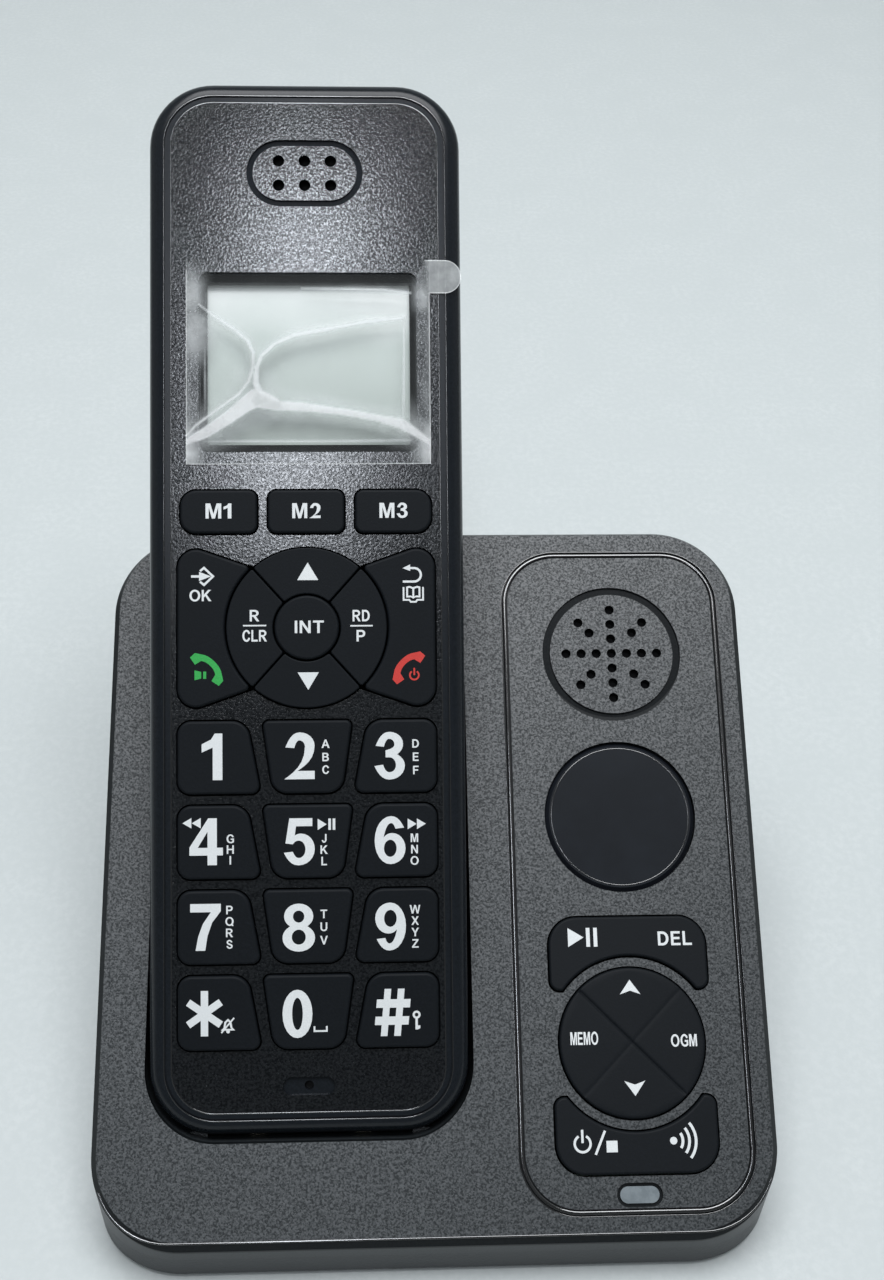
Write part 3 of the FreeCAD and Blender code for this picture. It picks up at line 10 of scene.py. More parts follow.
import bmesh
import bpy
import numpy as np
from mathutils import Matrix, Vector


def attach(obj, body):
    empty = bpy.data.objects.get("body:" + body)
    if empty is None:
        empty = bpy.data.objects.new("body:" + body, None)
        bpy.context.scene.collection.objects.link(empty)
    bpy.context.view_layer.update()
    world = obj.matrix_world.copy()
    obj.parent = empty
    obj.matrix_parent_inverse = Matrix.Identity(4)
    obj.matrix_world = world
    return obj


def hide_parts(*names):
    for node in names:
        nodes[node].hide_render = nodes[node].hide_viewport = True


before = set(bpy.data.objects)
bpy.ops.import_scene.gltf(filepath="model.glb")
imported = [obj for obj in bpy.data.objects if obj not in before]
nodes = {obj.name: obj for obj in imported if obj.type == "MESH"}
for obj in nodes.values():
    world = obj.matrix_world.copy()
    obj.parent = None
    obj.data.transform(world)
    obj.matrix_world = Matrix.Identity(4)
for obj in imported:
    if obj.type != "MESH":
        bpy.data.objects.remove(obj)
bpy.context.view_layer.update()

# %% [markdown]
# ## Two sloping planes
# Everything that shows lies on one of two slopes: the base's face, which rises at 30
# degrees, and the handset's face, which leans back further. A matrix for each lets a
# piece be drawn flat, as on paper, with x across, y up the slope and z out of it.

# %% Planes to draw on
MM = 0.001
KEY_TOP = 0.6          # how far every key stands above its face


def sloping_plane(x, y, z, degrees):
    """A matrix from millimetres on a tilted plane to metres in the room."""
    return (Matrix.Translation(Vector((x, y, z)) * MM)
            @ Matrix.Rotation(math.radians(degrees), 4, "X") @ Matrix.Scale(MM, 4))


FACE_SLOPE, HANDSET_SLOPE = 30, 43.7
FRONT_EDGE = (-48.3675, 9)      # y and z of the lower edge of the base's face
PANEL_X = 30.1                  # middle of the control panel
HANDSET_FOOT = (-19.1, -35.0307, 16.7)
base_plane = sloping_plane(0, *FRONT_EDGE, FACE_SLOPE)
panel_plane = sloping_plane(PANEL_X, *FRONT_EDGE, FACE_SLOPE)
handset_plane = sloping_plane(*HANDSET_FOOT, HANDSET_SLOPE)
print("handset face starts at", [round(v, 4) for v in handset_plane.translation])

# %% [markdown]
# ## Colours and nodes
# A colour is given in sRGB, the way screens show it, but shaders add up light,
# so they need the linear value. Three more helpers do the repeated work: one adds a node
# with its settings and links, one starts a material, and one gives a point's place in
# millimetres, so that a grain can be sized by a ruler.

# %% Colour and node helpers
def linear(colour):
    """An sRGB hex colour as the linear numbers that a shader takes."""
    parts = [int(colour[i:i + 2], 16) / 255 for i in (1, 3, 5)]
    return [p / 12.92 if p <= 0.04045 else ((p + 0.055) / 1.055) ** 2.4 for p in parts] + [1.0]


def add(tree, kind, sockets=None, **settings):
    """Add one node with its settings; a socket takes a value or another node's output."""
    made = tree.nodes.new(kind)
    for name, value in settings.items():
        setattr(made, name, value)
    for socket, value in (sockets or {}).items():
        if isinstance(value, bpy.types.NodeSocket):
            tree.links.new(value, made.inputs[socket])
        else:
            made.inputs[socket].default_value = value
    return made


def start_finish(name, **sockets):
    """A new material with one Principled shader; sockets are the shader's fixed values."""
    finish = bpy.data.materials.new(name)
    finish.use_nodes = True
    tree = finish.node_tree
    tree.nodes.clear()
    fixed = {name.replace("_", " "): value for name, value in sockets.items()}
    shader = add(tree, "ShaderNodeBsdfPrincipled", fixed)
    add(tree, "ShaderNodeOutputMaterial", {"Surface": shader.outputs[0]})
    return finish, tree, shader


def in_millimetres(tree, plane=None):
    """A point of the solid in millimetres, on a sloping plane if one is given."""
    place = add(tree, "ShaderNodeTexCoord").outputs["Object"]
    if plane is None:
        return add(tree, "ShaderNodeVectorMath", {0: place, 1: (1 / MM,) * 3},
                   operation="MULTIPLY").outputs[0]
    spot, turn, size = plane.inverted().decompose()
    return add(tree, "ShaderNodeMapping", {
        "Vector": place, "Location": spot, "Rotation": turn.to_euler(), "Scale": size}).outputs[0]


print("mid grey #808080 is", round(linear("#808080")[0], 3), "in linear light")

# %% [markdown]
# ## Grained plastics
# The covers are ABS, moulded in a steel tool whose face was eroded by sparks. The tiny
# craters scatter light, so the plastic looks like fine dry sand. Silicone rubber, nylon
# and the rest have a grain of their own. One function serves them: a noise at the size
# of the grain drives colour, gloss and height together. Real grains of about 0.1 mm
# would blur away at this distance, so they are drawn at 0.2 mm or more, which shows.

# %% Grain in colour, gloss and height
def grained(tree, shader, place, grain, dark, light, gloss, depth):
    """Give a shader grain. grain and depth are millimetres; gloss is a roughness range."""
    craters = add(tree, "ShaderNodeTexNoise", {
        "Vector": place, "Scale": 1 / grain, "Detail": 2.5, "Roughness": 0.65}).outputs["Fac"]
    sharp = add(tree, "ShaderNodeMapRange", {
        "Value": craters, "From Min": 0.36, "From Max": 0.64}).outputs["Result"]
    cloud = add(tree, "ShaderNodeTexNoise", {
        "Vector": place, "Scale": 1 / 14, "Detail": 2.0}).outputs["Fac"]
    strength = add(tree, "ShaderNodeMath", {0: sharp, 1: cloud, 2: -0.1},
                   operation="MULTIPLY_ADD").outputs[0]
    colour = add(tree, "ShaderNodeMix", {"Factor": strength, 6: linear(dark), 7: linear(light)},
                 data_type="RGBA").outputs[2]
    rough = add(tree, "ShaderNodeMapRange", {
        "Value": strength, "To Min": gloss[0], "To Max": gloss[1]}).outputs["Result"]
    bump = add(tree, "ShaderNodeBump", {"Height": strength, "Distance": depth * MM})
    tree.links.new(colour, shader.inputs["Base Color"])
    tree.links.new(rough, shader.inputs["Roughness"])
    tree.links.new(bump.outputs["Normal"], shader.inputs["Normal"])


def plain(name, grain, dark, light, gloss, depth, **sockets):
    """A finish that is the same all over its solid."""
    finish, tree, shader = start_finish(name, **sockets)
    grained(tree, shader, in_millimetres(tree), grain, dark, light, gloss, depth)
    return finish


# %% [markdown]
# The top cover and the handset's front are rough only on their faces. Their grooves,
# bevels and outer bands were polished in the tool, so a line of light runs along them.
# The finish asks how high a point lies above the face's plane: at the face it is rough,
# just below it is polished, and further down, on the outer walls, it is satin. Each
# crater of the rough face is one cell of a Voronoi pattern, because cells have crisp
# borders: some mirror the lamp and some don't, and that is the sparkle of such plastic.

# %% Covers with a rough face and polished edges
FACE_ENDS = (-0.1, -0.02)       # heights between which the polished edge turns to rough face
WALL_STARTS = (-1.0, -1.3)      # heights between which it turns to outer wall
CRATER_DEPTH = 0.008
GROOVE_SHINE = 0.04             # specular level of a groove's floor, which is nearly matt
BLEND = 0.05                    # half width over which one area turns to the next


def within(tree, place, middle, reach, corner):
    """One inside a rectangle with round corners on the plane, nought outside it."""
    past = place
    for job, value in (("SUBTRACT", middle), ("ABSOLUTE", (0, 0, 0)), ("SUBTRACT", reach),
                       ("MAXIMUM", (0, 0, 0)), ("MULTIPLY", (1, 1, 0))):
        past = add(tree, "ShaderNodeVectorMath", {0: past, 1: value}, operation=job).outputs[0]
    far = add(tree, "ShaderNodeVectorMath", {0: past}, operation="LENGTH").outputs["Value"]
    return add(tree, "ShaderNodeMapRange", {
        "Value": far, "From Min": corner + BLEND, "From Max": corner - BLEND}).outputs["Result"]


def shell_finish(name, plane, face, polished, wall, grain, glint, inset, quiet):
    """ABS with a spark-eroded face; each look is (dark, light, roughness, specular level)."""
    finish, tree, shader = start_finish(name, IOR=1.52)
    place = in_millimetres(tree, plane)
    height = add(tree, "ShaderNodeSeparateXYZ", {0: place}).outputs["Z"]
    on_face = add(tree, "ShaderNodeMapRange", {
        "Value": height, "From Min": FACE_ENDS[0], "From Max": FACE_ENDS[1]}).outputs["Result"]
    on_face = add(tree, "ShaderNodeMath", {0: on_face, 1: within(tree, place, *inset)},
                  operation="MULTIPLY").outputs[0]
    on_wall = add(tree, "ShaderNodeMapRange", {
        "Value": height, "From Min": WALL_STARTS[0], "From Max": WALL_STARTS[1]}).outputs["Result"]
    crater = add(tree, "ShaderNodeTexVoronoi", {"Vector": place, "Scale": 1 / grain})
    facet = add(tree, "ShaderNodeSeparateColor", {0: crater.outputs["Color"]}).outputs[0]
    patch = add(tree, "ShaderNodeTexNoise", {
        "Vector": place, "Scale": 0.5 / grain, "Detail": 1.0}).outputs["Fac"]
    patch = add(tree, "ShaderNodeMapRange", {
        "Value": patch, "From Min": 0.35, "From Max": 0.65}).outputs["Result"]
    speck = add(tree, "ShaderNodeMix", {"Factor": 0.4, 2: facet, 3: patch}).outputs[0]
    crisp = add(tree, "ShaderNodeMapRange", {
        "Value": speck, "From Min": 0.2, "From Max": 0.8}).outputs["Result"]
    sparkle = add(tree, "ShaderNodeMapRange", {
        "Value": crisp, "To Min": glint[0], "To Max": glint[1]}).outputs["Result"]
    shine = polished[3]
    for area in quiet:
        shine = add(tree, "ShaderNodeMix", {
            "Factor": within(tree, place, *area), 2: shine, 3: GROOVE_SHINE}).outputs[0]
    tones = [add(tree, "ShaderNodeMix", {"Factor": crisp, 6: linear(look[0]), 7: linear(look[1])},
                 data_type="RGBA").outputs[2] for look in (polished, wall, face)]
    for socket, kind, first, last, result, (edge, outside, top) in (
            ("Base Color", "RGBA", 6, 7, 2, tones),
            ("Roughness", "FLOAT", 2, 3, 0, (polished[2], wall[2], face[2])),
            ("Specular IOR Level", "FLOAT", 2, 3, 0, (shine, wall[3], sparkle))):
        below = add(tree, "ShaderNodeMix", {"Factor": on_wall, first: edge, last: outside},
                    data_type=kind).outputs[result]
        value = add(tree, "ShaderNodeMix", {"Factor": on_face, first: below, last: top},
                    data_type=kind).outputs[result]
        tree.links.new(value, shader.inputs[socket])
    bump = add(tree, "ShaderNodeBump", {
        "Height": crisp, "Strength": on_face, "Distance": CRATER_DEPTH * MM})
    tree.links.new(bump.outputs["Normal"], shader.inputs["Normal"])
    return finish


base_abs = shell_finish(
    "spark_eroded_abs_base", base_plane, grain=0.21, glint=(0.25, 0.95),
    face=("#222628", "#34393c", 0.46), polished=("#15181a", "#1b1e20", 0.3, 0.15),
    wall=("#262a2d", "#303437", 0.4, 0.5), inset=((0, 55.85, 0), (39.6, 43.95, 0), 11.1),
    quiet=[((PANEL_X, 91.1, 0), (0, 0, 0), 11.8)])
handset_abs = shell_finish(
    "spark_eroded_abs_handset", handset_plane, grain=0.21, glint=(0.27, 0.9),
    face=("#090c0f", "#111519", 0.155), polished=("#161a1e", "#1b1f24", 0.22, 0.24),
    wall=("#161a1e", "#1b1f24", 0.22, 0.4), inset=((0, 80.4, 0), (14, 70.4, 0), 6.5),
    quiet=[((0, 146.3, 0), (3.75, 0, 0), 5.4), ((0.45, 116.9, 0), (15.6, 12.8, 0), 1.8)])
print("cover finishes:", base_abs.name, handset_abs.name)

# %% [markdown]
# ## The other finishes
# Keys are silicone rubber, which is matt and slightly blue-black. The round display has
# a smoked acrylic lens. Inside sit a glass-fibre board, paper and ferrite of the
# loudspeakers, nickel-plated steel and shrink-wrapped cells. Each is named for what it
# is, with the refractive index or metal value that goes with it.

# %% Rubber, acrylic, metal and the rest
silicone = plain("moulded_silicone_rubber", 0.35, "#0f1317", "#161a1f", (0.55, 0.65), 0.01,
                 IOR=1.41, Specular_IOR_Level=0.2)
foot_rubber = plain("moulded_nitrile_rubber", 0.4, "#141414", "#1f1f1f", (0.7, 0.85), 0.02,
                    IOR=1.52)
bottom_abs = plain("moulded_abs_bottom", 0.45, "#2a2d30", "#383c3f", (0.42, 0.55), 0.02, IOR=1.52)
rear_abs = plain("satin_abs_handset_back", 0.45, "#0f1114", "#17191c", (0.28, 0.38), 0.008,
                 IOR=1.52)
smoked_acrylic = plain("smoked_acrylic", 6.0, "#1b1e23", "#20242a", (0.06, 0.1), 0.001,
                       IOR=1.49, Coat_Weight=0.5, Coat_Roughness=0.04)
frosted_lens = plain("frosted_polycarbonate", 1.2, "#70797e", "#8a9398", (0.3, 0.42), 0.01,
                     IOR=1.585)
module_plastic = plain("white_led_module", 0.6, "#8f8f8a", "#a8a8a2", (0.5, 0.6), 0.01, IOR=1.5)
socket_nylon = plain("black_nylon", 0.3, "#101112", "#1a1b1c", (0.4, 0.5), 0.01, IOR=1.53)
board_resin = plain("glass_fibre_board", 0.7, "#17452a", "#236238", (0.3, 0.45), 0.01, IOR=1.55)
speaker_paper = plain("pressed_paper_cone", 0.5, "#17181a", "#2a2b2d", (0.8, 0.95), 0.04, IOR=1.45)
cell_wrap = plain("shrink_wrapped_cell", 2.0, "#2d5c86", "#396e9c", (0.25, 0.35), 0.004, IOR=1.5)
plated_steel = plain("zinc_plated_steel", 0.4, "#8d9092", "#b2b5b7", (0.28, 0.42), 0.004,
                     Metallic=1)
nickel = plain("nickel_plated_contact", 0.5, "#857f73", "#a19b8d", (0.22, 0.34), 0.003, Metallic=1)
can_metal = plain("drawn_aluminium_can", 0.5, "#8f9294", "#a9acae", (0.3, 0.4), 0.004, Metallic=1)
white_ink = plain("screen_printed_white", 0.2, "#dfe3e4", "#f4f6f6", (0.45, 0.6), 0.002, IOR=1.5)
green_ink = plain("screen_printed_green", 0.2, "#27a046", "#37bb57", (0.45, 0.6), 0.002, IOR=1.5)
red_ink = plain("screen_printed_red", 0.2, "#c8322a", "#dd4238", (0.45, 0.6), 0.002, IOR=1.5)
black_ink = plain("back_printed_black", 0.3, "#060708", "#0a0b0c", (0.4, 0.5), 0.0,
                  IOR=1.5, Specular_IOR_Level=0.05)
gloss_abs = plain("polished_abs_trim", 3.0, "#0d0f11", "#141719", (0.12, 0.18), 0.0,
                  IOR=1.52, Specular_IOR_Level=1.0, Coat_Weight=1.0, Coat_Roughness=0.1)
print("finishes that wait for a piece:", sum(m.users == 0 for m in bpy.data.materials))

# %% [markdown]
# The window over the screen is clear acrylic. A true refracting slab would need many
# light bounces to look clean, so the sheet is almost wholly see-through. The display
# below it is switched off: a grey-green glass over a silvery reflector. Its colour is
# painted lighter towards its top, a painted reflection of the lamps in the window and film.

# %% Clear acrylic window and display glass
WINDOW_COVER = 0.02             # share of the light that the window keeps back
clear_acrylic, window_tree, window_shader = start_finish(
    "clear_acrylic", IOR=1.49, Alpha=WINDOW_COVER, Specular_IOR_Level=0.3)
grained(window_tree, window_shader, in_millimetres(window_tree), 5.0, "#dfe7e6", "#eef3f2",
        (0.12, 0.16), 0.0)
lcd_glass, lcd_tree, lcd_shader = start_finish(
    "lcd_glass_with_painted_glare", IOR=1.52, Roughness=0.35, Specular_IOR_Level=0.2)
lcd_place = in_millimetres(lcd_tree, handset_plane)
lcd_axes = add(lcd_tree, "ShaderNodeSeparateXYZ", {0: lcd_place})
lcd_cloud = add(lcd_tree, "ShaderNodeTexNoise", {
    "Vector": lcd_place, "Scale": 0.09, "Detail": 1.0}).outputs["Fac"]
lcd_up = add(lcd_tree, "ShaderNodeMath", {0: lcd_cloud, 1: 9.0, 2: lcd_axes.outputs["Y"]},
             operation="MULTIPLY_ADD").outputs[0]
lcd_tone_with_painted_glare = linear("#b0bab3")
# painted reflection: the colour turns lighter towards the top of the screen, standing in for the
# lamps mirrored in the window and film
for start, end, painted_glare_tone in ((108.0, 127.0, "#d6e0db"), (124.0, 134.0, "#fafefc")):
    share = add(lcd_tree, "ShaderNodeMapRange", {
        "Value": lcd_up, "From Min": start, "From Max": end}).outputs["Result"]
    lcd_tone_with_painted_glare = add(lcd_tree, "ShaderNodeMix", {"Factor": share, 6: lcd_tone_with_painted_glare, 7: linear(painted_glare_tone)},
                   data_type="RGBA").outputs[2]
lcd_tree.links.new(lcd_tone_with_painted_glare, lcd_shader.inputs["Base Color"])
print("window lets", 1 - WINDOW_COVER, "of the light straight through")

# %% [markdown]
# ## Dress the solids
# Every solid of the model keeps its shape and only gets its finish here.

# %% Finish of each solid
digit_keys = [f"key_{mark}" for mark in (*range(10), "star", "hash")]
other_keys = ["memory_key_1", "memory_key_2", "memory_key_3"] + [f"{use}_key" for use in (
    "intercom", "up", "down", "clear", "redial", "talk_ok", "end_book", "play_delete", "stop_page")]
soft_parts = ["base_key_membrane", "keypad_membrane", "scroll_pivot", "scroll_disc"]
finishes = {
    base_abs: ["base_top_cover"],
    handset_abs: ["handset_front_cover"],
    rear_abs: ["handset_rear_cover", "battery_door"],
    bottom_abs: ["base_bottom_cover"],
    silicone: digit_keys + other_keys + soft_parts,
    foot_rubber: ["rubber_feet"],
    smoked_acrylic: ["display_lens"],
    frosted_lens: ["light_pipe"],
    module_plastic: ["display_module"],
    socket_nylon: ["power_jack", "line_jack"],
    board_resin: ["base_circuit_board", "handset_circuit_board"],
    speaker_paper: ["base_loudspeaker", "earpiece_speaker", "handset_ringer", "handset_microphone"],
    can_metal: ["base_microphone"],
    cell_wrap: ["batteries"],
    plated_steel: ["base_screws", "handset_screws"],
    nickel: ["battery_contacts", "charging_plates", "cradle_contacts"],
    lcd_glass: ["lcd_module"],
    clear_acrylic: ["screen_lens", "screen_film"],
}
for finish, names in finishes.items():
    for name in names:
        nodes[name].data.materials.clear()
        nodes[name].data.materials.append(finish)
dressed = {name for names in finishes.values() for name in names}
print("solids without a finish:", sorted(set(nodes) - dressed))

# %% [markdown]
# ## Drawing flat marks
# The keys carry screen-printed digits, letters and symbols: a layer of ink a few
# hundredths of a millimetre thick. Blender's own font looks unlike the upright, bold
# letters of keypads, so each letter is a short list of corner and curve points. A point
# marked "h" or "v" is the top, bottom or side of a bow, where the outline runs level or
# upright for a moment; the curve between two points follows from that.

# %% From a short outline to a smooth one
PULL = 0.56            # how far a bow's handles reach, which makes a round circle
FREE = 0.4             # the same for a handle on a plain corner, which is free to turn
BLUNT = 0.5            # keeps the corner of a stroke from running out to a spike
CAPITAL = 70           # letters are drawn 70 units high


def outline(marks, turn=0.0, grow=(1.0, 1.0), move=(0.0, 0.0), steps=6):
    """The points of a closed outline whose marks are (x, y), (x, y, "h") or (x, y, "v")."""
    points = []
    for here, there in zip(marks, marks[1:] + marks[:1]):
        a, b = Vector(here[:2]), Vector(there[:2])
        ways = ["".join(mark[2:]) for mark in (here, there)]
        if ways == ["", ""]:
            points.append(a)
            continue
        first = {"h": Vector((b.x - a.x, 0)), "v": Vector((0, b.y - a.y))}.get(ways[0])
        last = {"h": Vector((a.x - b.x, 0)), "v": Vector((0, a.y - b.y))}.get(ways[1])
        before = a + first * PULL if first else None
        after = b + last * PULL if last else None
        before = before or a + (after - a) * FREE
        after = after or b + (before - b) * FREE
        for t in (step / steps for step in range(steps)):
            points.append(a * (1 - t) ** 3 + before * 3 * t * (1 - t) ** 2
                          + after * 3 * t * t * (1 - t) + b * t ** 3)
    spin = Matrix.Rotation(math.radians(turn), 2)
    return [spin @ Vector((p.x * grow[0], p.y * grow[1])) + Vector(move) for p in points]


def disc(x, y, radius):
    """A round outline."""
    return outline([(x, y + radius, "h"), (x + radius, y, "v"),
                    (x, y - radius, "h"), (x - radius, y, "v")])


def stroke(path, width):
    """The outline of a line of even width along a path of points."""
    path = [Vector(p) for p in path]
    sides = []
    for i, point in enumerate(path):
        near = path[max(i - 1, 0):i + 2]
        ways = [(b - a).normalized() for a, b in zip(near, near[1:])]
        along = sum(ways, Vector((0, 0))).normalized()
        reach = width / 2 / max(along.dot(ways[0]), BLUNT)
        aside = Vector((-along.y, along.x)) * reach
        sides.append((point + aside, point - aside))
    return [left for left, _ in sides] + [right for _, right in reversed(sides)]


def bow(x, y, radius, start, end, steps=12):
    """Points along an arc, for a stroke."""
    turns = [math.radians(start + (end - start) * i / steps) for i in range(steps + 1)]
    return [(x + radius * math.cos(t), y + radius * math.sin(t)) for t in turns]


print("a disc outline has", len(disc(0, 0, 1)), "points")

# %% [markdown]
# ## The letters and digits
# Each sign is written down as text, which keeps it short: its name, then its points. A
# stroke / parts the outside of a sign from its holes, and an h or v after a point says
# that it lies on a bow.

# %% Digits
def read_outlines(text):
    """Lists of (x, y), (x, y, "h") or (x, y, "v") from text such as 0,0 10,0h / 2,2 4,2."""
    found = []
    for part in text.split("/"):
        found.append([])
        for item in part.split():
            x, y = item.rstrip("hv").split(",")
            found[-1].append((float(x), float(y), *item[len(x) + len(y) + 1:]))
    return found


def read_signs(text):
    """A table of signs, with a semicolon between one sign and the next."""
    return {sign.split()[0]: read_outlines(sign.split(maxsplit=1)[1]) for sign in text.split(";")}


signs = read_signs("""
1 16.5,0 31,0 31,70 19.5,70 14,61 0,54 0,41.5 16.5,49;
2 2,48 23.5,70.5h 46,50.5v 20,12.5 46,12.5 46,0 0,0 31.5,49v 23,58.5h 15.5,47;
3 0,19.5 22.5,-1h 46,20v 34.5,37 43.5,53v 22.5,71h 2,50 14.5,48.5 22.5,60.5h 30.5,51.5v 17,43
  17,32.5 23,32.5h 32.5,20.5v 22.5,10h 13,21.5;
4 27,0 41,0 41,14.5 50,14.5 50,26 41,26 41,70 28,70 0,26.5 0,14.5 27,14.5 / 27,26 12.5,26 27,50;
5 0,18 22,-1h 46.5,23.5v 26,46.5h 16.5,43.5 18.5,57.5 43,57.5 43,69.5 8.5,69.5 2.5,32 13.5,30.5
  22.5,36h 32.5,23v 22.5,10h 13.5,19.5;
6 44.5,53.5 25,71h 0,34v 23.5,-1h 46.5,22.5v 26.5,45.5h 13.5,39 25,60.5h 31.5,52 / 23.5,35.5h
  33,23v 23.5,10h 14,22.5v;
7 0,70 46,70 46,59 33,42 26,22 22.5,0 8,0 12,21 19,40 31,57.5 0,57.5;
8 24.5,71h 46.5,52v 37.5,37 49,19.5v 24.5,-1h 0,19.5v 11.5,37 2.5,52v / 24.5,60.5h 33,51.5v
  24.5,42.5h 16,51.5v / 24.5,32h 35,20.5v 24.5,9.5h 14,20.5v;
0 22.5,71h 45,35v 22.5,-1h 0,35v / 22.5,59h 30.5,35v 22.5,11h 14.5,35v
""")
# a nine is a six that has been turned round
signs["9"] = [[(46.5 - mark[0], 70 - mark[1], *mark[2:]) for mark in part] for part in signs["6"]]
print("digits:", "".join(sorted(signs)))

# %% Capital letters
signs.update(read_signs("""
A 0,0 27,70 40,70 67,0 52,0 46,17 21,17 15,0 / 25,29 42,29 33.5,54;
B 0,0 30,0h 54,20v 43,37 51,52v 28,70h 0,70 / 13,11.5 29,11.5h 40,21v 29,31h 13,31 / 13,42 27,42h
  37,50.5v 27,59h 13,59;
C 57,21 31,-1.5h 0,35v 31,71.5h 57,49 44,46 31,60h 14,35v 31,10h 44,24;
D 0,0 24,0h 55,35v 24,70h 0,70 / 13,12 23,12h 41.5,35v 23,58h 13,58;
E 0,0 48,0 48,11.5 13,11.5 13,30 44,30 44,41.5 13,41.5 13,58.5 47,58.5 47,70 0,70;
F 0,0 13,0 13,29 42,29 42,40.5 13,40.5 13,58.5 46,58.5 46,70 0,70;
G 61,9 33,-1.5h 0,35v 33,71.5h 60,50 47,46.5 33,60h 14,35v 33,10h 48,15.5 48,26 34,26 34,37 61,37;
H 0,0 13,0 13,30 45,30 45,0 58,0 58,70 45,70 45,41.5 13,41.5 13,70 0,70;
I 0,0 13,0 13,70 0,70;
J 0,20 19,-1.5h 41,22v 41,70 28,70 28,22v 20,10h 12.5,21.5;
K 0,0 13,0 13,22 22,32 43,0 60,0 31,41 58,70 40,70 13,40 13,70 0,70;
L 0,0 46,0 46,11.5 13,11.5 13,70 0,70;
M 0,0 12.5,0 12.5,52 25,0 37,0 49.5,52 49.5,0 62,0 62,70 43.5,70 31,21 18.5,70 0,70;
N 0,0 12.5,0 12.5,48 43,0 56,0 56,70 43.5,70 43.5,23 14,70 0,70;
O 34,71.5h 68,35v 34,-1.5h 0,35v / 34,60h 54,35v 34,10h 14,35v;
P 0,0 13,0 13,26 30,26h 53,48v 30,70h 0,70 / 13,37.5 28,37.5h 39.5,48v 28,58.5h 13,58.5;
Q 34,71.5h 68,35v 60,11 68,2 60,-6 50,3 34,-1.5h 0,35v / 34,60h 54,35v 34,10h 14,35v;
R 0,0 13,0 13,28 22,28 42,0 58,0 37,31 54,49v 30,70h 0,70 / 13,39 28,39h 40,49v 28,58.5h 13,58.5;
S 0,21 26,-1.5h 52,20v 28,41 15.5,51.5v 26,60h 37,50 49.5,51 26,71.5h 2.5,50v 24,29 38.5,18.5v
  26,10h 13,22;
T 21,0 34,0 34,58.5 55,58.5 55,70 0,70 0,58.5 21,58.5;
U 0,70 0,24v 28,-1.5h 56,24v 56,70 43,70 43,25v 28,10h 13,25v 13,70;
V 25,0 38,0 63,70 49,70 31.5,18 14,70 0,70;
W 17,0 30,0 44,50 58,0 71,0 88,70 75,70 64,21 51,70 37.5,70 24,21 13.5,70 0,70;
X 0,0 15,0 31,25 47,0 62,0 39.5,36 60,70 45,70 31.5,47 17,70 2,70 23,36;
Y 24.5,0 37.5,0 37.5,28 62,70 47,70 31,40 15,70 0,70 24.5,28;
Z 0,0 54,0 54,11.5 17,11.5 53,60 53,70 3,70 3,58.5 36,58.5 0,10
"""))


def write(words, x, y, height, width=None, gap=9):
    """Marks for a word centred at x, y; width squeezes or spreads it to a length."""
    scale = height / CAPITAL
    spans = [max(mark[0] for mark in signs[letter][0]) for letter in words]
    length = (sum(spans) + gap * (len(words) - 1)) * scale
    squeeze = width / length if width else 1.0
    at, written = x - length * squeeze / 2, []
    for letter, span in zip(words, spans):
        written.append([outline(part, grow=(scale * squeeze, scale), move=(at, y - height / 2))
                        for part in signs[letter]])
        at += (span + gap) * scale * squeeze
    return written


print("signs drawn:", len(signs))

# %% [markdown]
# ## Symbols
# The star has six bars, the hash leans a little, and the small pictures are strokes and
# plain polygons.

# %% Star, hash and small pictures
def star(x, y, up, across, half):
    """A six-armed star with square ends."""
    arms = [90, 34.5, -34.5, -90, -145.5, -214.5]
    points = []
    for arm, following in zip(arms, arms[1:] + [arms[0] - 360]):
        way = Vector((math.cos(math.radians(arm)), math.sin(math.radians(arm))))
        side = Vector((way.y, -way.x)) * half
        reach = way * (up if abs(arm) == 90 else across)
        middle = math.radians((arm + following) / 2)
        inner = half / math.sin(math.radians(arm - following) / 2)
        points += [reach - side, reach + side, Vector((math.cos(middle), math.sin(middle))) * inner]
    return [[p + Vector((x, y)) for p in points]]


def hash_sign(x, y, width, height, lean=0.09):
    """Two leaning uprights crossed by two level bars."""
    a, b, c, d = 1.02, 2.02, 3.02, 4.02      # sides of the two uprights
    e, f, g, h = 1.65, 2.9, 4.2, 5.45        # undersides and tops of the two bars
    outside = [(a, 0), (b, 0), (b, e), (c, e), (c, 0), (d, 0), (d, e), (width, e), (width, f),
               (d, f), (d, g), (width, g), (width, h), (d, h), (d, height), (c, height), (c, h),
               (b, h), (b, height), (a, height), (a, h), (0, h), (0, g), (a, g), (a, f), (0, f),
               (0, e), (a, e)]
    hole = [(b, f), (c, f), (c, g), (b, g)]
    return [[Vector((x + px + lean * (py - height / 2), y + py)) for px, py in part]
            for part in (outside, hole)]


def read_marks(text):
    """Marks from text, with | between one mark and the next."""
    return [read_outlines(mark) for mark in text.split("|")]


def line(text, width):
    """A mark that is one stroke along the points of a text."""
    return [stroke(read_outlines(text)[0], width)]


def picture(x, y, marks):
    """Marks moved to x, y."""
    return [[[Vector(p) + Vector((x, y)) for p in part] for part in mark] for mark in marks]


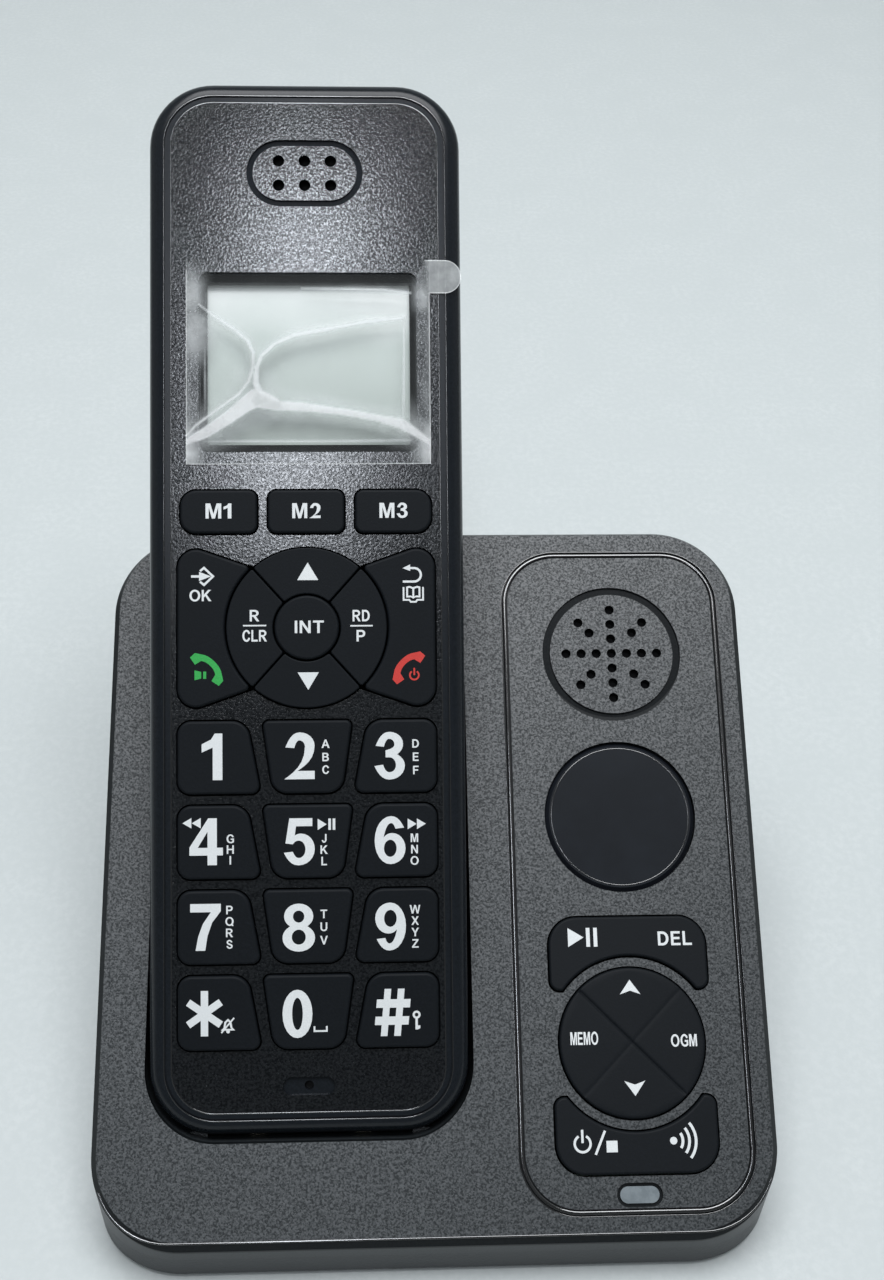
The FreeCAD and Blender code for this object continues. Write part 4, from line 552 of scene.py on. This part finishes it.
receiver = read_outlines("-3.05,-0.95 -3,0.05 -1.75,0.85 0,1.2h 1.75,0.85 3,0.05 3.05,-0.95 "
                         "1.75,-1.2 1.5,-0.15 0,0.3h -1.5,-0.15 -1.75,-1.2")[0]
speaker_sign = read_marks("-0.9,0.75 0.1,0.5 0.1,-0.5 -0.9,-0.75 | 0.4,0.55 0.85,0.55 0.85,-0.55 "
                          "0.4,-0.55")
enter_sign = [line("0,1.55 1.4,1.55", 0.36), *read_marks("1.2,0.85 3,1.55 1.2,2.25"),
              line("1.35,2.35 1.95,2.85 3.3,1.55 1.95,0.25 1.35,0.75", 0.33)]
back_sign = [*read_marks("0,2.2 1.15,2.75 1.15,1.75"),
             [stroke([(0.9, 2.2), (1.75, 2.2), *bow(1.75, 1.17, 1.03, 80, -80), (1.7, 0.14),
                      (0.02, 0.14)], 0.33)]]
book_sign = [line("0.12,2.4 0.12,0.45 1,0.45 1.2,0.15 2,0.15 2.2,0.45 3.08,0.45 3.08,2.4", 0.26),
             *read_marks("0.52,0.8 1.25,0.85 1.6,0.62 1.95,0.85 2.68,0.8 2.68,2.45 2.2,2.58 "
                         "1.6,2.38 1,2.58 0.52,2.45 / 0.8,1.08 1.2,1.1 1.46,0.96 1.46,2.12 "
                         "1.05,2.28 0.8,2.22 / 2.4,1.08 2,1.1 1.74,0.96 1.74,2.12 2.15,2.28 "
                         "2.4,2.22")]
bell_sign = [*read_marks("0,0.35 0.42,0.75 0.55,1.6 1.1,2.1 1.6,1.6 1.75,0.75 2.15,0.35 / 0.55,0.6 "
                         "0.72,0.85 0.85,1.5 1.1,1.72 1.32,1.5 1.42,0.85 1.6,0.6"),
             [disc(1.1, 0.2, 0.27)], line("0.1,0 2,2.2", 0.24)]
key_sign = [[disc(0.6, 2.2, 0.6), disc(0.6, 2.2, 0.28)],
            *read_marks("0.42,1.65 0.78,1.65 0.78,0.6 1.15,0.6 1.15,0.2 0.78,0 0.42,0")]
space_sign = [line("0.11,0.85 0.11,0.13 1.95,0.13 1.95,0.85", 0.26)]
small_pictures = [speaker_sign, enter_sign, back_sign, book_sign, bell_sign, key_sign, space_sign]
print("marks in the small pictures:", [len(marks) for marks in small_pictures])

# %% [markdown]
# ## From a drawing to a piece
# A shape is drawn in millimetres on one of the planes. Its faces are turned outward, it
# is moved to its place, and it is given its finish. Then it is told which body it rides
# on, so that it moves when that body does.

# %% Place a drawn shape
def stand(name, data):
    """Put a mesh, a lamp or a camera into the scene."""
    made = bpy.data.objects.new(name, data)
    bpy.context.scene.collection.objects.link(made)
    return made


def shaped(name, mesh, finish, smooth):
    """An object from a mesh; edges up to smooth degrees are shaded soft."""
    data = bpy.data.meshes.new(name)
    mesh.to_mesh(data)
    mesh.free()
    data.materials.append(finish)
    if smooth:
        data.shade_smooth()
        data.set_sharp_from_angle(angle=math.radians(smooth))
    return stand(name, data)


def keep(mesh, plane, name, finish, body, smooth=40):
    """Place a drawn shape in the room, faces outward, as a piece that rides on a body."""
    bmesh.ops.recalc_face_normals(mesh, faces=mesh.faces)
    mesh.transform(plane)
    piece = shaped(name, mesh, finish, smooth)
    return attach(piece, body)


print("one unit on the panel's plane is", round(panel_plane.to_scale().x, 4), "m")

# %% [markdown]
# ## Laying the ink
# Each outline becomes a ring of edges, the rings are filled with triangles and the sheet
# is given a thickness, so that every mark is a thin closed solid that can also be
# printed. A mark that crosses another sits a hair higher, so the two don't flicker.

# %% Ink that rides on its key
INK = 0.02                      # thickness of the ink
LAYER = 0.003                   # how much higher a crossing mark sits
CLEAR = 0.004                   # gap between the ink and the rubber


def lay_ink(name, plane, marks, ink, body, floor=KEY_TOP + CLEAR):
    """One thin closed mesh of ink for one key."""
    mesh = bmesh.new()
    for number, mark in enumerate(marks):
        edges, top = [], floor + INK + LAYER * (number % 3)
        for points in mark:
            ring = [mesh.verts.new((p[0], p[1], top)) for p in points]
            edges += [mesh.edges.new(pair) for pair in zip(ring, ring[1:] + ring[:1])]
        filled = bmesh.ops.triangle_fill(mesh, use_beauty=True, edges=edges, normal=(0, 0, 1))
        faces = [piece for piece in filled["geom"] if isinstance(piece, bmesh.types.BMFace)]
        for face in faces:
            if face.normal.z < 0:
                face.normal_flip()
        bmesh.ops.solidify(mesh, geom=faces, thickness=INK)
    return keep(mesh, plane, name, ink, body, smooth=0)


def column(letters, x, tops):
    """Small letters under each other, as beside the digits."""
    return [mark for letter, y in zip(letters, tops) for mark in write(letter, x, y, 1.28, gap=0)]


# %% [markdown]
# ### The digit keys
# The digits are 7 mm high. Their left and lower corners were laid out on the key grid,
# and the small letters stand in a column at the right of each digit.

# %% Print of the digit keys
def digit(sign, left, low, height=7.0):
    """Marks for a digit whose left lower corner is given."""
    scale = height / CAPITAL
    return [[outline(part, grow=(scale, scale), move=(left, low)) for part in signs[sign]]]


rewind_sign = read_marks("0,0.8 1.35,0.02 1.35,1.58 | 1.4,0.8 2.75,0.02 2.75,1.58")
pause_sign = read_marks("0,0 1.35,0.85 0,1.7 | 1.6,0 2,0 2,1.7 1.6,1.7 | 2.25,0 2.65,0 2.65,1.7 "
                        "2.25,1.7")
forward_sign = read_marks("0,0 1.35,0.8 0,1.6 | 1.4,0 2.75,0.8 1.4,1.6")
digit_print = {
    "key_1": digit("1", -15.85, 53.2),
    "key_2": digit("2", -3.5, 53.2) + column("ABC", 2.75, (58.5, 56.5, 54.6)),
    "key_3": digit("3", 10.1, 53.1) + column("DEF", 16.35, (58.4, 56.4, 54.4)),
    "key_4": (digit("4", -17.7, 40.5) + column("GHI", -11.6, (44.4, 42.8, 41.2))
              + picture(-18.75, 46.0, rewind_sign)),
    "key_5": (digit("5", -3.6, 40.4) + column("JKL", 2.45, (44.3, 42.6, 40.9))
              + picture(1.5, 45.55, pause_sign)),
    "key_6": (digit("6", 10.05, 40.4) + column("MNO", 16.05, (44.2, 42.5, 40.8))
              + picture(15.05, 45.5, forward_sign)),
    "key_7": digit("7", -17.6, 27.8, 6.95) + column("PQRS", -11.75, (33.8, 32.1, 30.4, 28.7)),
    "key_8": digit("8", -3.85, 27.55, 6.95) + column("TUV", 2.35, (33.0, 31.1, 29.1)),
    "key_9": digit("9", 10.05, 27.5, 6.95) + column("WXYZ", 16.05, (33.5, 31.8, 30.1, 28.4)),
    "key_star": [star(-15.5, 18.5, 3.35, 2.95, 0.55)] + picture(-13.1, 15.6, bell_sign),
    "key_0": digit("0", -3.9, 14.75, 6.95) + picture(0.75, 15.5, space_sign),
    "key_hash": [hash_sign(10.05, 14.7, 5.05, 7.0)] + picture(15.55, 15.6, key_sign),
}
for key, marks in digit_print.items():
    lay_ink(f"print_{key}", handset_plane, marks, white_ink, key)
print("printed keys:", len(digit_print))

# %% Print of the other handset keys
def solid_triangle(x, y, width, height):
    """A triangle on a level edge; a height below nought points it downwards."""
    return [[[(x - width / 2, y), (x + width / 2, y), (x, y + height)]]]


def rule(x, y, length, thickness=0.22):
    """A thin level line, as between the two words of a key."""
    return [[[(x, y), (x + length, y), (x + length, y + thickness), (x, y + thickness)]]]


handset_print = {
    "memory_key_1": write("M1", -13.25, 93.9, 2.3, 3.9),
    "memory_key_2": write("M2", 0.05, 93.9, 2.3, 4.3),
    "memory_key_3": write("M3", 13.3, 93.9, 2.3, 4.3),
    "up_key": solid_triangle(0.2, 83.3, 3.2, 2.7),
    "down_key": solid_triangle(0.2, 69.3, 3.2, -2.65),
    "intercom_key": write("INT", 0.4, 76.2, 1.9, 4.4, gap=12),
    "clear_key": (write("R", -7.86, 77.95, 1.75) + write("CLR", -7.85, 74.9, 1.75, 3.7)
                  + rule(-9.6, 76.33, 3.5)),
    "redial_key": (write("RD", 8.26, 77.85, 1.75, 2.6) + write("P", 8.2, 74.8, 1.75)
                   + rule(6.6, 76.2, 3.4)),
    "talk_ok_key": picture(-17.4, 82.4, enter_sign) + write("OK", -16.0, 81.05, 1.72, 3.3),
    "end_book_key": picture(14.6, 82.85, back_sign) + picture(14.6, 79.75, book_sign),
}
for key, marks in handset_print.items():
    lay_ink(f"print_{key}", handset_plane, marks, white_ink, key)
talk = [[outline(receiver, turn=-45, move=(-14.75, 70.2))]] + picture(-16.0, 69.0, speaker_sign)
power_bow = [(x + 16.25, y + 68.75) for x, y in bow(0, 0, 0.68, 125, 415, 16)]
hang_up = [[outline(receiver, turn=45, move=(15.1, 70.2))], [stroke(power_bow, 0.26)],
           line("16.25,69.85 16.25,68.75", 0.26)]
lay_ink("print_talk_green", handset_plane, talk, green_ink, "talk_ok_key")
lay_ink("print_end_red", handset_plane, hang_up, red_ink, "end_book_key")
print("other printed keys:", len(handset_print) + 2)

# %% Print of the base keys
waves = [[stroke(bow(4.9, 13.67, radius, -angle, angle, 12), 0.42)]
         for radius, angle in ((1.9, 34), (2.9, 38), (3.9, 40))]
play_sign = read_marks("0,0 2.45,1.45 0,2.9 | 2.85,0 3.43,0 3.43,2.9 2.85,2.9 | 4,0 4.58,0 "
                       "4.58,2.9 4,2.9")
base_print = {
    "play_delete_key": (picture(-9.27, 42.5, play_sign)
                        + write("DEL", 7.45, 43.6, 2.15, 5.3, gap=12)),
    "stop_page_key": [[stroke(bow(-8.35, 13.5, 1.2, 118, 422, 20), 0.36)],
                      line("-8.35,13.6 -8.35,15.5", 0.36), line("-6.45,11.9 -4.9,15.3", 0.36),
                      *read_marks("-4.77,12.2 -3.1,12.2 -3.1,13.85 -4.77,13.85"),
                      [disc(5.4, 13.67, 0.55)], *waves],
    "scroll_disc": (picture(0, 35.2, read_marks("-1.6,0 0,0.55 1.6,0 0,2.2"))
                    + picture(0, 22.4, read_marks("-1.6,0 0,-0.55 1.6,0 0,-2.2"))
                    + write("MEMO", -7.4, 28.75, 1.9, 4.25) + write("OGM", 7.9, 28.2, 1.8, 4.0)),
}
for key, marks in base_print.items():
    lay_ink(f"print_{key}", panel_plane, marks, white_ink, key)
print("printed base keys:", len(base_print))

# %% [markdown]
# ## The scroll disc
# The four-way disc is one moulded piece: four shallow pads that meet in V-shaped creases
# along the diagonals. A square grid is bent to a round one in a way that keeps its middle
# lines straight, so the creases follow the grid and stay crisp.

# %% Disc with creases
DISC_MIDDLE, DISC_RADIUS, FLANGE_RADIUS = 28.06, 11.2, 11.85
FLANGE_TOP, FLANGE_UNDERSIDE = -2.6, -3.3
RIM = 0.4                       # width of the rounded rim
PAD = 0.04                      # how far the middle of a pad swells


def bell(distance, width):
    """1 at no distance, falling softly to nought well past the width."""
    return np.exp(-(distance / width) ** 2)


def scroll_disc_shape():
    """Top grid, rounded rim, wall, flange and underside as one closed mesh, in millimetres."""
    half = [0, 0.008, 0.02, 0.035, 0.06, 0.1, 0.17, 0.27, 0.39, 0.52, 0.65, 0.78, 0.9, 1.0]
    steps = [-s for s in reversed(half[1:])] + half      # close together at the creases
    mesh = bmesh.new()
    rows = []
    for v in steps:
        row = []
        for u in steps:
            a = u * math.sqrt(1 - v * v / 2) * (DISC_RADIUS - RIM)
            b = v * math.sqrt(1 - u * u / 2) * (DISC_RADIUS - RIM)
            deep = 0.2 * bell(a, 0.2) + 0.05 * bell(b, 0.3)
            swell = PAD * (1 - bell(a, 2.2)) * (1 - bell(b, 2.6))
            x, y = (a + b) * math.sqrt(0.5), (a - b) * math.sqrt(0.5)
            row.append(mesh.verts.new((x, y + DISC_MIDDLE, KEY_TOP - 0.05 + swell - deep)))
        rows.append(row)
    for low, high in zip(rows, rows[1:]):
        for i in range(len(steps) - 1):
            mesh.faces.new((low[i], low[i + 1], high[i + 1], high[i]))
    last = len(steps) - 1
    rim = (rows[0][:last] + [row[last] for row in rows[:last]] + rows[last][:0:-1]
           + [row[0] for row in rows[:0:-1]])
    profile = [(DISC_RADIUS - 0.2, KEY_TOP - 0.06), (DISC_RADIUS - 0.06, KEY_TOP - 0.18),
               (DISC_RADIUS, KEY_TOP - 0.42), (DISC_RADIUS, FLANGE_TOP),
               (FLANGE_RADIUS, FLANGE_TOP), (FLANGE_RADIUS, FLANGE_UNDERSIDE)]
    for reach, level in profile:
        ring = []
        for vert in rim:
            way = Vector((vert.co.x, vert.co.y - DISC_MIDDLE)).normalized() * reach
            ring.append(mesh.verts.new((way.x, way.y + DISC_MIDDLE, level)))
        for i in range(len(rim)):
            mesh.faces.new((rim[i - 1], rim[i], ring[i], ring[i - 1]))
        rim = ring
    mesh.faces.new(rim)
    return mesh


scroll_cap = keep(scroll_disc_shape(), panel_plane, "scroll_disc_cap", silicone, "scroll_disc")
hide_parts("scroll_disc")
print("disc faces:", len(scroll_cap.data.polygons))

# %% [markdown]
# ## The screen's black border
# A black frame is printed on the back of the window, so only the glass of the display
# shows. It is a flat ring with round corners that lies a hair inside the window, because
# two faces in the same place would flicker.

# %% Printed border under the window
WINDOW = (-16.2, 103.1, 17.1, 130.7)        # left, low, right and high side of the window
SIGHT = (-15.1, 104.3, 16.0, 129.1)         # the same sides of the clear part within it
WINDOW_BACK = -1.24                         # level of the window's back


def round_box(left, low, right, high, corner, steps=6):
    """A rectangle with round corners, as points."""
    points = []
    for x, y, start in ((right - corner, high - corner, 0), (left + corner, high - corner, 90),
                        (left + corner, low + corner, 180), (right - corner, low + corner, 270)):
        points += bow(x, y, corner, start, start + 90, steps)
    return points


inset = [side + gap for side, gap in zip(WINDOW, (0.05, 0.05, -0.05, -0.05))]
border = lay_ink("screen_border", handset_plane, [[round_box(*inset, 1.4), round_box(*SIGHT, 0.3)]],
                 black_ink, "handset", floor=WINDOW_BACK)
print("border faces:", len(border.data.polygons))

# %% [markdown]
# ## Lines of light
# The tool that moulds a cover is polished along its edges, and each edge comes out as a
# hair-thin rounded bead. It is too small to matter to the engineer's solids, but the eye
# sees it, because a bead always turns some part of itself to the lamp.

# %% Polished beads along the edges
SIDES = 10                      # sides of a bead's oval section
FLATNESS = 0.4                  # height of that oval as a share of its width


def bead(name, plane, body, lines):
    """Low rounded threads: (points, closed, half width, height of the middle) for each line."""
    mesh = bmesh.new()
    for path, closed, half_width, height in lines:
        path = [Vector(p) for i, p in enumerate(path)
                if (Vector(p) - Vector(path[i - 1])).length > 0.01]
        rings = []
        for i, point in enumerate(path):
            after = path[(i + 1) % len(path)] if closed else path[min(i + 1, len(path) - 1)]
            before = path[i - 1] if closed else path[max(i - 1, 0)]
            along = (after - before).normalized()
            side = Vector((along.y, -along.x)) * half_width
            ring = []
            for turn in (2 * math.pi * k / SIDES for k in range(SIDES)):
                level = height + FLATNESS * half_width * math.sin(turn)
                ring.append(mesh.verts.new((*(point + side * math.cos(turn)), level)))
            rings.append(ring)
        for i, ring in enumerate(rings):
            if i or closed:
                for k in range(SIDES):
                    mesh.faces.new((rings[i - 1][k], rings[i - 1][k - 1], ring[k - 1], ring[k]))
        if not closed:
            mesh.faces.new(rings[0])
            mesh.faces.new(rings[-1])
    piece = keep(mesh, plane, name, gloss_abs, body, smooth=80)
    return piece


front_edge = bow(-39.6, 11.9, 11.15, 200, 270, 10) + bow(39.6, 11.9, 11.15, 270, 340, 10)
beads = [
    bead("panel_groove_bead", panel_plane, "base",
         [(round_box(-17.45, 3.7, 17.45, 107.2, 8.5, 14), True, 0.3, -0.16),
          (round_box(-18.0, 3.15, 18.0, 107.75, 9.05, 14), True, 0.08, -0.02)]),
    bead("display_lens_bead", panel_plane, "base",
         [(bow(0, 63.05, 11.0, 0, 357, 60), True, 0.1, -0.2)]),
    bead("base_front_bead", base_plane, "base", [(front_edge, False, 0.16, -0.06)]),
    bead("handset_face_bead", handset_plane, "handset",
         [(round_box(-21.6, 2.4, 21.6, 158.4, 7.6, 14), True, 0.08, -0.02),
          (round_box(-20.5, 3.5, 20.5, 157.3, 6.5, 14), True, 0.1, -0.02)]),
]
print("bead faces:", [len(piece.data.polygons) for piece in beads])

# %% [markdown]
# ## The protective film
# A new telephone's screen is covered by a thin plastic film with a pull tab. It has been
# lifted and pressed back: sharp creases run across it and meet near the left side, and
# the plastic has gone milky along them and round its edge. The white of the creases is
# partly that whitening and partly painted reflection of the lamps in the bent film. The
# film is a fine grid. Its height and its whiteness both come from the distance to a few
# drawn crease lines.

# %% The creases
FILM_LEFT, FILM_RIGHT, FILM_LOW, FILM_HIGH = -18.2, 19.1, 101.1, 132.7
TAB_LOW, TAB_END = 127.5, 24.0
# a crease's milkiness is partly real whitening and partly painted reflection of the lamps in the
# bent film
creases = [  # "x,y,half width" along each crease, then its height and its milkiness
    ("-16.3,125.8,0.1 -14,124,0.16 -10.9,121.9,0.2 -8.8,120.1,0.24 -8,118.4,0.26 -8,116,0.26 "
     "-8.65,113.9,0.24 -10.2,111.9,0.2 -13.1,109.8,0.2 -16.8,107,0.2 -18.4,105.2,0.2", 0.08, 0.9),
    ("15,123.7,0.16 9.2,123.1,0.22 3.1,121.9,0.3 -1.8,121,0.34 -4.8,119.6,0.3 -6.7,117.8,0.3 "
     "-7.4,116,0.36 -7.6,113.6,0.5 -6.9,112,0.6 -4.4,110.9,0.4", 0.12, 0.85),
    ("-18.7,104.2,0.45 -15.2,106,0.85 -12,108.1,1 -9.2,110.3,1.2 -7.6,111.3,1.5 -4,110.1,0.8 "
     "0,109.9,0.7 6,109.1,0.55 11,108.2,0.55 14.7,107.3,0.85 17,105.8,0.6 19.6,103.9,0.45",
     0.08, 1.0),
    ("15.2,123.9,0.1 15.1,116,0.1 15,108.2,0.12", 0.05, 0.8),
    ("-0.5,128.3,0.06 6,128.2,0.14 12,128.1,0.16 16.2,127.6,0.08", 0.03, 0.8),
    ("-15.6,104.7,0.07 0,104.65,0.08 16.4,104.75,0.07", 0.0, 0.8),
    ("-15.2,127.5,0.06 -15.3,116,0.06 -15.2,105.2,0.06", 0.0, 0.6),
]


def distance_to(path, points):
    """Distance of each point to a crease, and the crease's half width at the nearest place."""
    path = np.array([place.split(",") for place in path.split()], float)
    nearest, width = np.full(len(points), 1e9), np.ones(len(points))
    for first, last in zip(path, path[1:]):
        along = last[:2] - first[:2]
        share = np.clip(((points - first[:2]) @ along) / (along @ along), 0, 1)
        away = np.linalg.norm(points - first[:2] - share[:, None] * along, axis=1)
        width = np.where(away < nearest, first[2] + share * (last[2] - first[2]), width)
        nearest = np.minimum(nearest, away)
    return nearest, width


print("creases:", len(creases))

# %% The film's grid, with a round end on the tab
BELOW_TAB = 120                 # rows of the grid that lie below the tab
film_columns = np.linspace(FILM_LEFT, FILM_RIGHT, 170)
film_rows = np.concatenate([np.linspace(FILM_LOW, TAB_LOW, BELOW_TAB + 1)[:-1],
                            np.linspace(TAB_LOW, FILM_HIGH, 25)])
tab_columns = np.linspace(FILM_RIGHT, TAB_END - 0.02, 24)[1:]
film_points, film_quads, number_at = [], [], {}
for i, x in enumerate(film_columns):
    for j, y in enumerate(film_rows):
        number_at[i, j] = len(film_points)
        film_points.append((x, y))
tab_middle, tab_half = (TAB_LOW + FILM_HIGH) / 2, (FILM_HIGH - TAB_LOW) / 2
for i, x in enumerate(tab_columns, len(film_columns)):
    past = max(0.0, x - (TAB_END - tab_half))
    reach = math.sqrt(tab_half ** 2 - past ** 2) / tab_half
    for j in range(BELOW_TAB, len(film_rows)):
        number_at[i, j] = len(film_points)
        film_points.append((x, tab_middle + (film_rows[j] - tab_middle) * reach))
for (i, j), number in number_at.items():
    corners = [(i, j), (i + 1, j), (i + 1, j + 1), (i, j + 1)]
    if all(corner in number_at for corner in corners):
        film_quads.append([number_at[corner] for corner in corners])
film_points = np.array(film_points)
print("film points:", len(film_points), "faces:", len(film_quads))

# %% Height and milkiness of the film
def soft_step(distance, softness):
    """0 well before a border and 1 well past it."""
    return 1 / (1 + np.exp(-distance / softness))


def past_sides(box):
    """How far each point lies past the left, low, right and high side of a box."""
    left, low, right, high = box
    return left - x, low - y, x - right, y - high


# a slow swell over the whole sheet, then a ridge along each crease
x, y = film_points.T
lift = 0.06 + 0.06 * np.sin(x / 5.1 + 0.6) * np.sin(y / 4.3) + 0.02 * np.sin(x / 1.9 + y / 2.7)
milk = np.zeros(len(x))
for path, height, milky in creases:
    away, width = distance_to(path, film_points)
    lift += height * bell(away, width + 0.5)
    # painted glow: a wide soft whiteness round each crease that stands in for the lamps' reflection
    painted_glow = 0.35 * np.minimum(width / 0.2, 1) ** 2 * bell(away, 3 * width + 0.25)
    milk = np.maximum(milk, milky * np.maximum(soft_step(width - away, 0.07), painted_glow))

# off the window the film lies on the cover, where streaks of air make it milky
most = np.maximum.reduce
past_left, past_low, past_right, past_high = past_sides(WINDOW)
edge = soft_step(most(past_sides(WINDOW)), 0.15)
upright = np.maximum(past_left, past_right) > np.maximum(past_low, past_high)
across, along = np.where(upright, (x, y), (y, x))
streaks = (0.5 + 0.3 * np.sin(across * 3.1 + 0.8 * np.sin(along * 0.35))
           + 0.2 * np.sin(along * 0.8 + across))
on_top = (past_high >= most([past_left, past_right, past_low])) & (x < FILM_RIGHT - 0.6)
veil = edge * np.where(on_top, 0, np.where(upright, 0.04 + 0.12 * streaks, 0.03))
veil += (1 - edge) * (0.008 + 0.04 * soft_step(-most(past_sides(SIGHT)), 0.05))

# corners that have come up: x, y, reach and the strength of the painted glint on them
corners = [(-18.6, 103.6, 2.4, 0.8), (19.3, 103.6, 2.2, 0.8), (-17.4, 127.2, 1.9, 0.55),
           (18.2, 127.0, 1.4, 0.45), (-16.9, 121.6, 2.6, 0.5)]
# painted glint: a soft white patch on each lifted corner, standing in for a reflection of the lamps
lifted_corner_glint = most([share * bell(np.hypot(x - cx, (y - cy) * 0.6), reach)
                    for cx, cy, reach, share in corners])

# the cut rim and the pull tab
rim = np.minimum.reduce([x - FILM_LEFT, np.where(y < TAB_LOW, FILM_RIGHT - x, 9), y - FILM_LOW])
rim_milk = 0.55 * bell(rim, 0.12) * (y < 131)
tab = np.clip(x - FILM_RIGHT + 1, 0, 1) * (y > TAB_LOW - 0.01)
tab_rim = tab_half - np.hypot(np.maximum(x - (TAB_END - tab_half), 0), y - tab_middle)
tab_milk = tab * np.maximum(0.34 + 0.1 * streaks, 0.75 * bell(tab_rim, 0.2))

milk = np.clip(most([milk, lifted_corner_glint, veil, tab_milk, rim_milk]), 0, 1)
lift += 0.1 * lifted_corner_glint + 0.2 * tab
lift = np.maximum(lift, 0.02 - 0.16 * (1 - edge))
print("film stands", round(float(lift.max()), 2), "mm off the face at most")

# %% [markdown]
# Where the film is white, from real whitening and from painted reflection, it hides what
# lies below it, and elsewhere it is clear. The grid carries that as a number at each point,
# and the finish reads it by name.

# %% Film mesh and finish
FILM_THICKNESS = 0.03
film_mesh = bmesh.new()
film_whitening_and_glare = film_mesh.verts.layers.float.new("milk")
film_verts = [film_mesh.verts.new((px, py, pz)) for (px, py), pz in zip(film_points, lift)]
for vert, value in zip(film_verts, milk):
    vert[film_whitening_and_glare] = value
for quad in film_quads:
    film_mesh.faces.new([film_verts[number] for number in quad])
bmesh.ops.solidify(film_mesh, geom=film_mesh.faces, thickness=FILM_THICKNESS)

film_finish, film_tree, film_shader = start_finish("creased_pvc_film", IOR=1.5, Roughness=0.3,
                                                       Specular_IOR_Level=1.0)
milkiness = add(film_tree, "ShaderNodeAttribute", attribute_name="milk").outputs["Fac"]
smudge = add(film_tree, "ShaderNodeTexNoise", {
    "Vector": in_millimetres(film_tree, handset_plane), "Scale": 0.5, "Detail": 4.0}).outputs["Fac"]
uneven = add(film_tree, "ShaderNodeMapRange", {
    "Value": smudge, "From Min": 0.3, "From Max": 0.7,
    "To Min": 0.75, "To Max": 1.25}).outputs["Result"]
cover = add(film_tree, "ShaderNodeMath", {0: milkiness, 1: uneven},
            operation="MULTIPLY", use_clamp=True).outputs[0]
# white where the film is whitened and where a reflection of the lamps is painted on it
tint = add(film_tree, "ShaderNodeMix", {
    "Factor": milkiness, 6: linear("#dfe6e6"), 7: linear("#fdfefe")}, data_type="RGBA").outputs[2]
film_tree.links.new(cover, film_shader.inputs["Alpha"])
film_tree.links.new(tint, film_shader.inputs["Base Color"])
film = keep(film_mesh, handset_plane, "creased_film", film_finish, "handset", smooth=60)
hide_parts("screen_film")
print("film faces:", len(film.data.polygons))

# %% [markdown]
# ## The room
# The machine stands on a pale sheet that runs up behind it, as in a small photo tent. A
# wide lamp above gives soft light. A tube that runs from front to back makes a streak of
# sparkle down the middle of the handset, and a pale room, dimmer in front, does the rest.
# Past the sheet's edges the camera sees that room as one plain pale colour.

# %% Floor and backdrop
def sweep(width, front, back, bend, height, steps=24):
    """A floor that curves up to a wall."""
    profile = [(-front, 0.0), (back, 0.0)]
    profile += [(back + bend * math.sin(t), bend * (1 - math.cos(t)))
                for t in (math.pi / 2 * (i + 1) / steps for i in range(steps))]
    profile.append((back + bend, height))
    mesh = bmesh.new()
    sides = [[mesh.verts.new((side * width / 2, y, z)) for y, z in profile] for side in (-1, 1)]
    for i in range(len(profile) - 1):
        mesh.faces.new((sides[0][i], sides[1][i], sides[1][i + 1], sides[0][i + 1]))
    return mesh


paper = plain("matt_backdrop_paper", 1.5, "#c9cfcf", "#d4d9d9", (0.75, 0.9), 0.02, IOR=1.4)
backdrop_shape = sweep(width=3.0, front=0.9, back=0.55, bend=0.35, height=1.6)
backdrop = shaped("backdrop", backdrop_shape, paper, smooth=60)
print("backdrop faces:", len(backdrop.data.polygons))

# %% Lamps and the pale room
def softbox(name, place, target, width, depth, watts, colour):
    """A rectangular lamp that points at a target."""
    lamp = bpy.data.lights.new(name, "AREA")
    lamp.shape, lamp.size, lamp.size_y, lamp.energy = "RECTANGLE", width, depth, watts
    lamp.color = linear(colour)[:3]
    holder = stand(name, lamp)
    holder.location = place
    holder.rotation_euler = (Vector(target) - Vector(place)).to_track_quat("-Z", "Y").to_euler()


softbox("overhead_softbox", (0.02, 0.12, 1.10), target=(0, 0, 0.05),
        width=0.8, depth=0.6, watts=11.4, colour="#fafcff")
softbox("front_tube", (-0.075, -0.50, 1.05), target=(-0.019, 0.06, 0.11),
        width=0.09, depth=0.33, watts=1.75, colour="#f0f6ff")

world = bpy.data.worlds.new("pale_room")
bpy.context.scene.world = world
world.use_nodes = True
room = world.node_tree
room.nodes.clear()
way = add(room, "ShaderNodeSeparateXYZ", {0: add(room, "ShaderNodeTexCoord").outputs["Generated"]})
strength = add(room, "ShaderNodeMapRange", {
    "Value": way.outputs["Y"], "From Min": -0.15, "From Max": -0.45,
    "To Min": 0.43, "To Max": 0.18}, interpolation_type="SMOOTHSTEP").outputs["Result"]
light = add(room, "ShaderNodeBackground", {"Color": linear("#e2e6e7"), "Strength": strength})
view = add(room, "ShaderNodeBackground", {"Color": linear("#d3dadb"), "Strength": 1.0})
either = add(room, "ShaderNodeMixShader", {
    0: add(room, "ShaderNodeLightPath").outputs["Is Camera Ray"], 1: light.outputs[0],
    2: view.outputs[0]})
add(room, "ShaderNodeOutputWorld", {"Surface": either.outputs[0]})

# %% [markdown]
# ## The camera
# It looks down at the machine from the front at about 43 degrees, close enough for the
# handset to taper towards its top.

# %% Camera
camera_data = bpy.data.cameras.new("camera")
camera_data.lens, camera_data.sensor_width = 42.19, 36
camera = stand("camera", camera_data)
camera_right = Vector((0.9991, -0.0356, 0.0234)).normalized()
camera_back = Vector((-0.0419, -0.7249, 0.6877)).normalized()
camera_up = camera_back.cross(camera_right).normalized()
camera_right = camera_up.cross(camera_back)
camera.matrix_world = Matrix.Translation((-0.00815, -0.1472, 0.2251)) @ Matrix(
    (camera_right, camera_up, camera_back)).transposed().to_4x4()
bpy.context.scene.camera = camera
bpy.context.scene.view_settings.view_transform = "Standard"
print("camera at", [round(v, 3) for v in camera.location])
